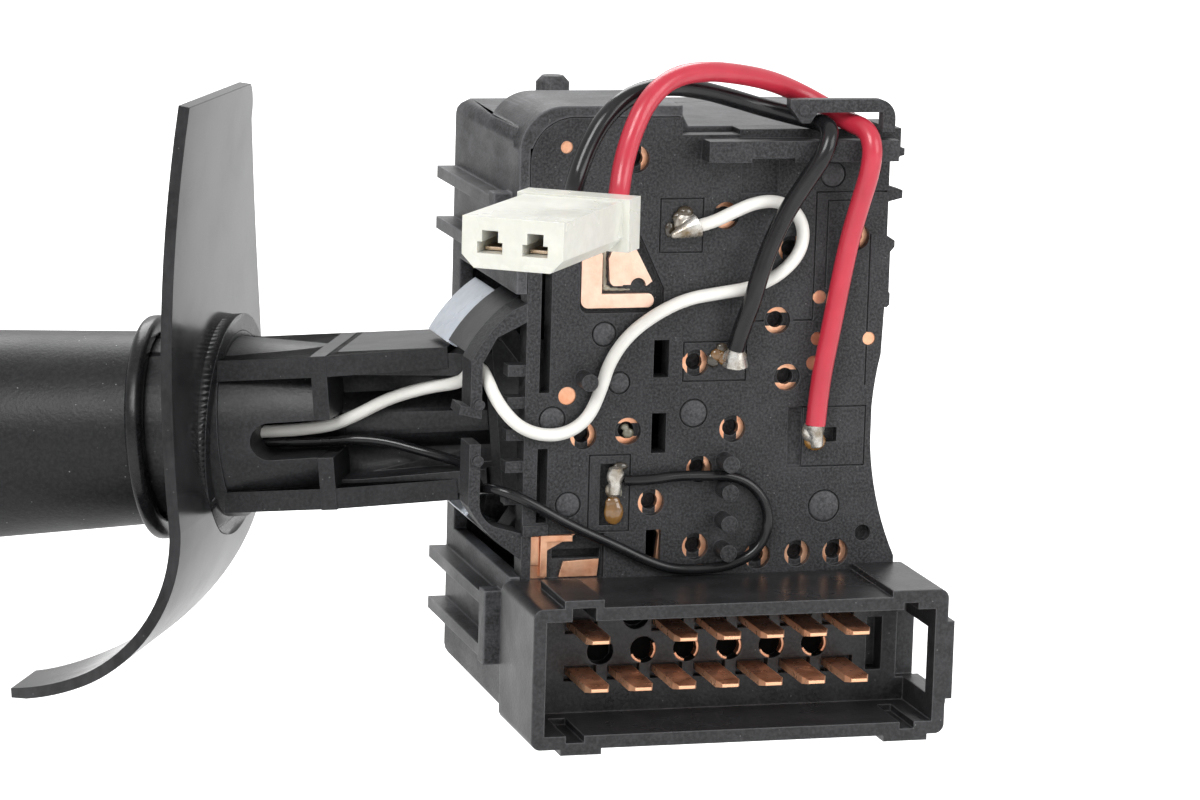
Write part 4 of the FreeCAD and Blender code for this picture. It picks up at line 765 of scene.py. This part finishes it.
def makeBlades():
    facts = blades
    deselectAll()
    body = facts["front"] + facts["taper"]
    bpy.ops.mesh.primitive_cube_add(
        size=0.001, location=(facts["first"] / 1000, (body + facts["root"]) / 2000, facts["upper"] / 1000),
        scale=(facts["width"], facts["root"] - body, facts["thick"]),
    )
    blade = bpy.context.object
    bpy.ops.object.transform_apply(location=False, rotation=False, scale=True)
    for face in blade.data.polygons:
        face.select = face.normal.y < -0.9
    startEdit("FACE")
    bpy.ops.mesh.extrude_region_move(TRANSFORM_OT_translate={"value": (0, -facts["taper"] / 1000, 0)})
    bpy.ops.transform.resize(value=(facts["tipWidth"] / facts["width"], 1, facts["tipThick"] / facts["thick"]))
    sortParts()
    endEdit()
    applyStep(blade, "BEVEL", width=facts["edge"] / 1000, segments=2)
    blade.data.materials.append(finish["bladeCopper"])
    made = [blade]
    for row in range(facts["rows"]):
        for column in range(facts["columns"]):
            if (row, column) in ((0, 0), facts["empty"]):  # the first is the blade itself
                continue
            pick(blade)
            drop = (facts["lower"] - facts["upper"]) * row / 1000
            bpy.ops.object.duplicate(linked=False)
            bpy.ops.transform.translate(value=(facts["pitch"] * column / 1000, 0, drop))
            made.append(bpy.context.object)
    joined(made, "contactBlades")
    settle()
    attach(blade, "housing")
    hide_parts("upper_blades", "lower_blades")


makeBlades()
print("blades done")

# melted heads of the stakes that hold the plate, x, z and radius in mm
stakes = {
    "heads": [
        (26.4, 29.0, 1.35), (0, 11.1, 1.27), (-5.8, 1.4, 1.4), (1.9, 5.5, 1.15), (10.8, 1.8, 1.5),
        (-3.7, -8.4, 1.33), (26.8, -9.4, 1.74),
    ],
    "front": -30.06, "deep": 0.3, "edge": 0.12, "play": 0.03, "sides": 40, "smooth": 30,
}


def makeStakes():
    facts = stakes
    deselectAll()
    made = []
    for x, z, radius in facts["heads"]:
        bpy.ops.mesh.primitive_cylinder_add(
            vertices=facts["sides"], radius=(radius - facts["play"]) / 1000, depth=facts["deep"] / 1000,
            location=(x / 1000, (facts["front"] + facts["deep"] / 2) / 1000, z / 1000),
            rotation=(math.radians(90), 0, 0),
        )
        settle()
        applyStep(bpy.context.object, "BEVEL", width=facts["edge"] / 1000, segments=2, limit_method="ANGLE")
        made.insert(0, bpy.context.object)
    heads = joined(made, "stakeHeads")
    smoothTo(facts["smooth"])
    heads.data.materials.append(finish["stakeNylon"])
    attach(heads, "housing")


makeStakes()
print("stakes done")

# the stalk's own frame: x out along the stalk, y to the plate's side, z up
stalk = {"pivot": (0, -0.0175, 0), "yaw": 155, "droop": 5.6}
stalkPlace = (
    Matrix.Translation(stalk["pivot"]) @ Matrix.Rotation(math.radians(stalk["yaw"]), 4, "Z")
    @ Matrix.Rotation(math.radians(stalk["droop"]), 4, "Y")
)
# the barrel of the neck with its rails, cross rib and wire slot, mm in the stalk's frame
neck = {
    "barrelStart": 28.2, "barrelEnd": 42.4, "startRadius": 8.9, "endRadius": 10.72, "coreGap": 0.25, "sides": 128,
    "railEnd": 39.9, "railKnee": 27.0, "railFoot": 13.0, "railLow": 6.5, "railHigh": 8.9, "railFront": 8.7,
    "footFront": 5.6, "flatStart": 9.0, "flatMore": 0.1, "flatDrop": 0.05,
    "ribStart": 26.6, "ribEnd": 28.45, "ribProud": 0.12, "ribBack": -8.2,
    "slotStart": 20.0, "slotEnd": 36.0, "slotLevel": -0.65, "slotHalf": 2.2, "slotFloor": 2.2, "slotSides": 64,
    "outside": 14, "cornersShort": 3.2, "shellSmooth": 10, "stemSmooth": 25,
}


def localBox(low, high):
    # a box between two corners given in mm in the stalk's frame
    deselectAll()
    size = [top - bottom for bottom, top in zip(low, high)]
    middle = [(bottom + top) / 2000 for bottom, top in zip(low, high)]
    bpy.ops.mesh.primitive_cube_add(size=0.001, location=middle, scale=size)
    settle()
    return bpy.context.object


def localCone(inset):
    # the barrel's cone, or its core with the radii smaller by inset
    deselectAll()
    start, end = neck["barrelStart"], neck["barrelEnd"]
    bpy.ops.mesh.primitive_cone_add(
        vertices=neck["sides"], radius1=(neck["startRadius"] - inset) / 1000,
        radius2=(neck["endRadius"] - inset) / 1000, depth=(end - start) / 1000,
        location=((start + end) / 2000, 0, 0), rotation=(0, math.radians(90), 0),
    )
    settle()
    return bpy.context.object


def cutAway(item, tool):
    # the tool is used up
    pick(item)
    applyStep(item, "BOOLEAN", operation="DIFFERENCE", object=tool, solver="EXACT")
    bpy.data.objects.remove(tool, do_unlink=True)


def moveBy(item, matrix):
    pick(item)
    item.matrix_world = matrix
    settle()


def mergedCopy(nodeName, name):
    # a CAD node's mesh is loose triangles, so its copy is merged before it is worked on
    pick(nodes[nodeName])
    bpy.ops.object.duplicate(linked=False)
    made = bpy.context.object
    made.name = name
    bpy.ops.object.mode_set(mode="EDIT")
    bpy.ops.mesh.select_all(action="SELECT")
    bpy.ops.mesh.remove_doubles(threshold=0.000001)
    endEdit()
    return made


def clearPoints():
    # edit mode with single points and none of them chosen, so that code can choose them
    startEdit("VERT")
    bpy.ops.mesh.select_all(action="DESELECT")
    endEdit()


def makeRail(side):
    facts = neck
    low, high = sorted((side * facts["railLow"], side * facts["railHigh"]))
    front = facts["railFront"]
    rail = localBox((facts["railKnee"], -front, low), (facts["railEnd"], front, high))
    for face in rail.data.polygons:  # the run to the pivot gets thinner
        face.select = face.normal.x < -0.9
    startEdit("FACE")
    run = (facts["railKnee"] - facts["railFoot"]) / 1000
    bpy.ops.mesh.extrude_region_move(TRANSFORM_OT_translate={"value": (-run, 0, 0)})
    thinner = (facts["footFront"] + front) / (2 * front)
    bpy.ops.transform.resize(value=(1, thinner, 1), center_override=(0, -front / 1000, 0))
    sortParts()
    endEdit()
    return rail


def makeShell():
    facts = neck
    barrel = localCone(0)
    rails = [makeRail(-1), makeRail(1)]
    proud = facts["ribProud"]
    rib = localBox((facts["ribStart"], facts["ribBack"], -facts["railHigh"] - proud / 2),
                   (facts["ribEnd"], facts["railFront"] + proud, facts["railHigh"] + proud / 2))
    floor, outside, half = facts["slotFloor"], facts["outside"], facts["slotHalf"]
    for solid in (barrel, rib):
        slot = localBox((facts["slotStart"], floor, facts["slotLevel"] - half),
                        (facts["slotEnd"] - half, outside, facts["slotLevel"] + half))
        cutAway(solid, slot)
    deselectAll()
    bpy.ops.mesh.primitive_cylinder_add(
        vertices=facts["slotSides"], radius=half / 1000, depth=(outside - floor) / 1000,
        location=((facts["slotEnd"] - half) / 1000, (outside + floor) / 2000, facts["slotLevel"] / 1000),
        rotation=(math.radians(90), 0, 0),
    )
    settle()
    cutAway(barrel, bpy.context.object)
    shell = joined([barrel, *rails, rib], "neckShell")
    moveBy(shell, stalkPlace)
    smoothTo(facts["shellSmooth"])
    shell.data.materials.clear()
    shell.data.materials.append(finish["stalkNylon"])
    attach(shell, "stalk")


def makeStem():
    # the CAD neck loses its square corners where the barrel is round, and what stands above the rails
    facts = neck
    outside = facts["outside"]
    cornersEnd = facts["barrelEnd"] - facts["cornersShort"]
    corners = localBox((facts["ribEnd"], -outside, -outside), (cornersEnd, outside, outside))
    cutAway(corners, localCone(facts["coreGap"]))
    moveBy(corners, stalkPlace)
    stem = mergedCopy("stalk_core", "neckStem")
    cutAway(stem, corners)
    moveBy(stem, stalkPlace.inverted())
    for side in (-1, 1):
        clearPoints()
        for point in stem.data.vertices:
            inReach = facts["flatStart"] < point.co.x * 1000 < facts["ribEnd"] + facts["flatMore"]
            point.select = inReach and side * point.co.z > facts["railHigh"] / 1000
        bpy.ops.object.mode_set(mode="EDIT")
        level = side * (facts["railHigh"] - facts["flatDrop"]) / 1000
        bpy.ops.transform.resize(value=(1, 1, 0), center_override=(0, 0, level))
        endEdit()
    moveBy(stem, stalkPlace)
    smoothTo(facts["stemSmooth"])
    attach(stem, "stalk")
    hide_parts("stalk_core")


makeShell()
makeStem()

# the rings by the sheet, mm: the collar's free end lies square to the stalk and its other end sinks into the
# sheet, and the flange has round edges
rings = {
    "collarPlane": (39.9, 0, 0), "collarNormal": (1, -0.043, 0.105), "collarSink": 0.35, "sinkFrom": 0.25,
    "flangeEdge": 0.75, "steps": 4, "edgeAngle": 50, "smooth": 30,
}


def makeCollar():
    collar = mergedCopy("shield_collar", "sheetCollar")
    turn = stalkPlace.to_3x3()
    start = stalkPlace @ (Vector(rings["collarPlane"]) / 1000)
    normal = turn @ Vector(rings["collarNormal"])
    bpy.ops.object.mode_set(mode="EDIT")
    bpy.ops.mesh.select_all(action="SELECT")
    bpy.ops.mesh.bisect(plane_co=start, plane_no=normal, use_fill=True, clear_inner=True)
    clearPoints()
    for point in collar.data.vertices:
        point.select = (point.co - start).dot(normal.normalized()) > rings["sinkFrom"] / 1000
    bpy.ops.object.mode_set(mode="EDIT")
    bpy.ops.transform.translate(value=turn @ Vector((1, 0, 0)) * rings["collarSink"] / 1000)
    endEdit()
    smoothTo(rings["smooth"])
    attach(collar, "stalk")
    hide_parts("shield_collar")


def makeFlange():
    flange = mergedCopy("stop_flange", "roundFlange")
    applyStep(
        flange, "BEVEL", width=rings["flangeEdge"] / 1000, segments=rings["steps"], limit_method="ANGLE",
        angle_limit=math.radians(rings["edgeAngle"]),
    )
    smoothTo(rings["smooth"])
    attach(flange, "stalk")
    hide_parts("stop_flange")


makeCollar()
makeFlange()
print("neck and rings done")

# the casing's two long outer corners are well rounded, mm
casing = {
    "left": -10.3, "top": 34.2, "bottom": -33.0, "near": 0.02, "radius": 1.7, "steps": 4, "flat": 0.5,
    "smooth": 30,
}


def makeCasing():
    facts = casing
    shell = mergedCopy("front_casing", "roundCasing")
    bpy.ops.object.mode_set(mode="EDIT")
    bpy.ops.mesh.select_all(action="SELECT")
    bpy.ops.mesh.dissolve_limited(angle_limit=math.radians(facts["flat"]))
    bpy.ops.mesh.select_mode(type="EDGE")
    bpy.ops.mesh.select_all(action="DESELECT")
    endEdit()

    def near(value, target):
        return abs(value * 1000 - target) < facts["near"]

    for edge in shell.data.edges:
        ends = [shell.data.vertices[number].co for number in edge.vertices]
        onLeft = all(near(end.x, facts["left"]) for end in ends)
        onTop = all(near(end.z, facts["top"]) for end in ends)
        onBottom = all(near(end.z, facts["bottom"]) for end in ends)
        edge.select = onLeft and (onTop or onBottom)
    bpy.ops.object.mode_set(mode="EDIT")
    bpy.ops.mesh.bevel(offset=facts["radius"] / 1000, segments=facts["steps"], affect="EDGES", clamp_overlap=False)
    endEdit()
    smoothTo(facts["smooth"])
    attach(shell, "housing")
    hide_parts("front_casing")


makeCasing()
print("casing done")

# the leads' centre lines in mm, in the part's frame or in the stalk's own
leads = {
    "redLead": {
        "node": "red_lead", "body": "housing", "radius": 1.15, "length": 89.1, "finish": "redInsulation",
        "slot": "red_insulation", "ends": ["plug_housing"], "farEnd": "plug",
        "route": [
            (24.9, -31.6, 0.4), (25.2, -31.6, 5), (26.1, -31.7, 10.4), (27.1, -31.7, 16.2),
            (28.0, -31.9, 21.6), (28.7, -33.1, 26), (29.2, -34.6, 29.6), (29.4, -34.95, 32.6),
            (29.1, -33.6, 34.55), (27.7, -31.0, 35.1), (25.4, -29.0, 36.6), (21.9, -29.0, 38.4),
            (18.0, -31.1, 39.9), (13.6, -33.8, 40.9), (8.8, -36.6, 41.6), (4.2, -39.2, 41.2), (0.9, -41, 38.8),
            (-1.0, -42, 35.2), (-2.0, -42.3, 31.6), (-2.7, -43.6, 28.4), (-4.05, -46.3, 27),
            (-6.2, -49.8, 26.9),
        ],
    },
    "blackLead": {
        "node": "black_lead", "body": "housing", "radius": 1.05, "length": 77.6, "finish": "blackInsulation",
        "slot": "black_insulation", "ends": ["plug_terminals"], "farEnd": "plug",
        "route": [
            (15.1, -31.4, 9.4), (15.6, -32.3, 12.2), (16.4, -33.0, 15), (17.2, -33.1, 18.4), (18.5, -33.0, 22),
            (20.2, -33.2, 25.6), (22.0, -34.1, 28.9), (23.8, -34.9, 32), (24.7, -33.9, 34.4),
            (24.5, -31.6, 35.15), (22.6, -29.6, 35.4), (18.6, -29.2, 36.4), (14.0, -30.6, 37.8),
            (9.4, -33, 39.1), (4.6, -35.9, 39.9), (0.0, -38.2, 39.3), (-3.3, -39.3, 36.9), (-5.4, -39.8, 33.4),
            (-6.9, -40.8, 29.8), (-8.3, -43.7, 27.3), (-10.4, -47.0, 26.85),
        ],
    },
    "hornWireWhite": {
        "node": "horn_wire_white", "body": "housing", "radius": 0.74, "length": 72.8,
        "finish": "whiteInsulation", "slot": "white_insulation", "ends": [], "farEnd": "object",
        "route": [
            (9.6, -30.9, 23.2), (11.9, -31.2, 23.8), (14.2, -30.9, 24.8), (16.8, -30.8, 25.9),
            (19.4, -30.8, 26.2), (21.7, -30.8, 25.2), (23.0, -30.8, 22.9), (22.6, -30.8, 20.1),
            (20.2, -30.8, 17.6), (16.9, -30.8, 16.2), (13.2, -30.8, 15.7), (9.3, -30.8, 15.1),
            (5.7, -30.8, 13.4), (2.6, -30.8, 11.1), (0.5, -30.8, 8.1), (-0.4, -30.8, 4.9), (-1.8, -30.8, 1.6),
            (-4.4, -30.9, -0.1), (-7.6, -31.1, -0.1), (-10.4, -31.2, 1.2), (-12.4, -30.2, 3.8),
            (-13.1, -28.2, 6.2), (-13.2, -25.4, 6.9), (-13.35, -22.2, 5.81),
        ],
    },
    "hornWireBlack": {
        "node": "horn_wire_black", "body": "housing", "radius": 0.6, "length": 65.2,
        "finish": "blackInsulation", "slot": "black_insulation", "ends": [], "farEnd": "object",
        "route": [
            (2.6, -30.8, -5.6), (5.3, -31.2, -5.6), (8.8, -30.9, -5.2), (12.4, -30.8, -5.3),
            (15.7, -30.8, -5.45), (18.2, -30.8, -6.8), (19.8, -30.8, -9.2), (19.9, -30.8, -12.2),
            (18.3, -30.8, -14.6), (15.5, -30.8, -15.9), (12.1, -30.8, -16.2), (8.6, -30.8, -16.1),
            (5.3, -30.8, -14.9), (2.0, -30.8, -13.2), (-1.5, -30.8, -11.6), (-5.0, -31.1, -9.8),
            (-8.2, -31.2, -7.9), (-11.0, -30.8, -6.6), (-12.9, -29, -6.4), (-13.2, -26, -7.3),
            (-13.05, -22.75, -8.3),
        ],
    },
    "neckWireWhite": {
        "node": "neck_wire_white", "body": "stalk", "radius": 0.74, "length": 37.4,
        "finish": "whiteInsulation", "slot": "white_insulation", "ends": [], "farEnd": "object",
        "inStalk": True,
        "route": [
            (9.95, 8.7, 6.5), (10.8, 7.0, 5.4), (12.4, 5.2, 4.6), (15.0, 3.9, 4.2), (18.0, 3.5, 3.6),
            (21.2, 3.4, 2.7), (24.4, 3.4, 1.2), (27.6, 3.5, 0.0), (31.0, 3.7, -0.3), (34.8, 3.95, -0.35),
            (39.2, 4.15, -0.3), (44.0, 4.15, -0.27),
        ],
    },
    "neckWireBlack": {
        "node": "neck_wire_black", "body": "stalk", "radius": 0.6, "length": 37.7, "finish": "blackInsulation",
        "slot": "black_insulation", "ends": [], "farEnd": "object", "inStalk": True,
        "route": [
            (9.7, 9.1, -7.0), (10.65, 7.1, -5.8), (12.2, 5.3, -4.7), (15.0, 3.8, -4.1), (18.0, 3.2, -3.3),
            (21.2, 3.1, -2.3), (24.6, 3.15, -1.75), (28.0, 3.25, -1.85), (31.4, 3.3, -1.85),
            (35.0, 3.6, -1.62), (39.4, 3.75, -1.66), (44.0, 3.75, -1.63),
        ],
    },
}
curveSteps = {"along": 8, "round": 5, "order": 3}


def makeLead(name):
    facts = leads[name]
    points = [Vector(point) / 1000 for point in facts["route"]]
    if facts.get("inStalk"):
        points = [stalkPlace @ point for point in points]
    curve = bpy.data.curves.new(name, "CURVE")
    curve.dimensions = "3D"
    curve.bevel_depth = facts["radius"] / 1000
    curve.bevel_resolution = curveSteps["round"]
    curve.resolution_u = curveSteps["along"]
    curve.use_fill_caps = True
    spline = curve.splines.new("NURBS")
    spline.points.add(len(points) - 1)
    for corner, point in zip(spline.points, points):
        corner.co = (*point, 1)
    spline.order_u = curveSteps["order"]
    spline.use_endpoint_u = True
    lead = bpy.data.objects.new(name, curve)
    bpy.context.collection.objects.link(lead)
    curve.materials.append(finish[facts["finish"]])
    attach(lead, facts["body"])
    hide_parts(facts["node"])


for leadName in leads:
    makeLead(leadName)
print("leads done")
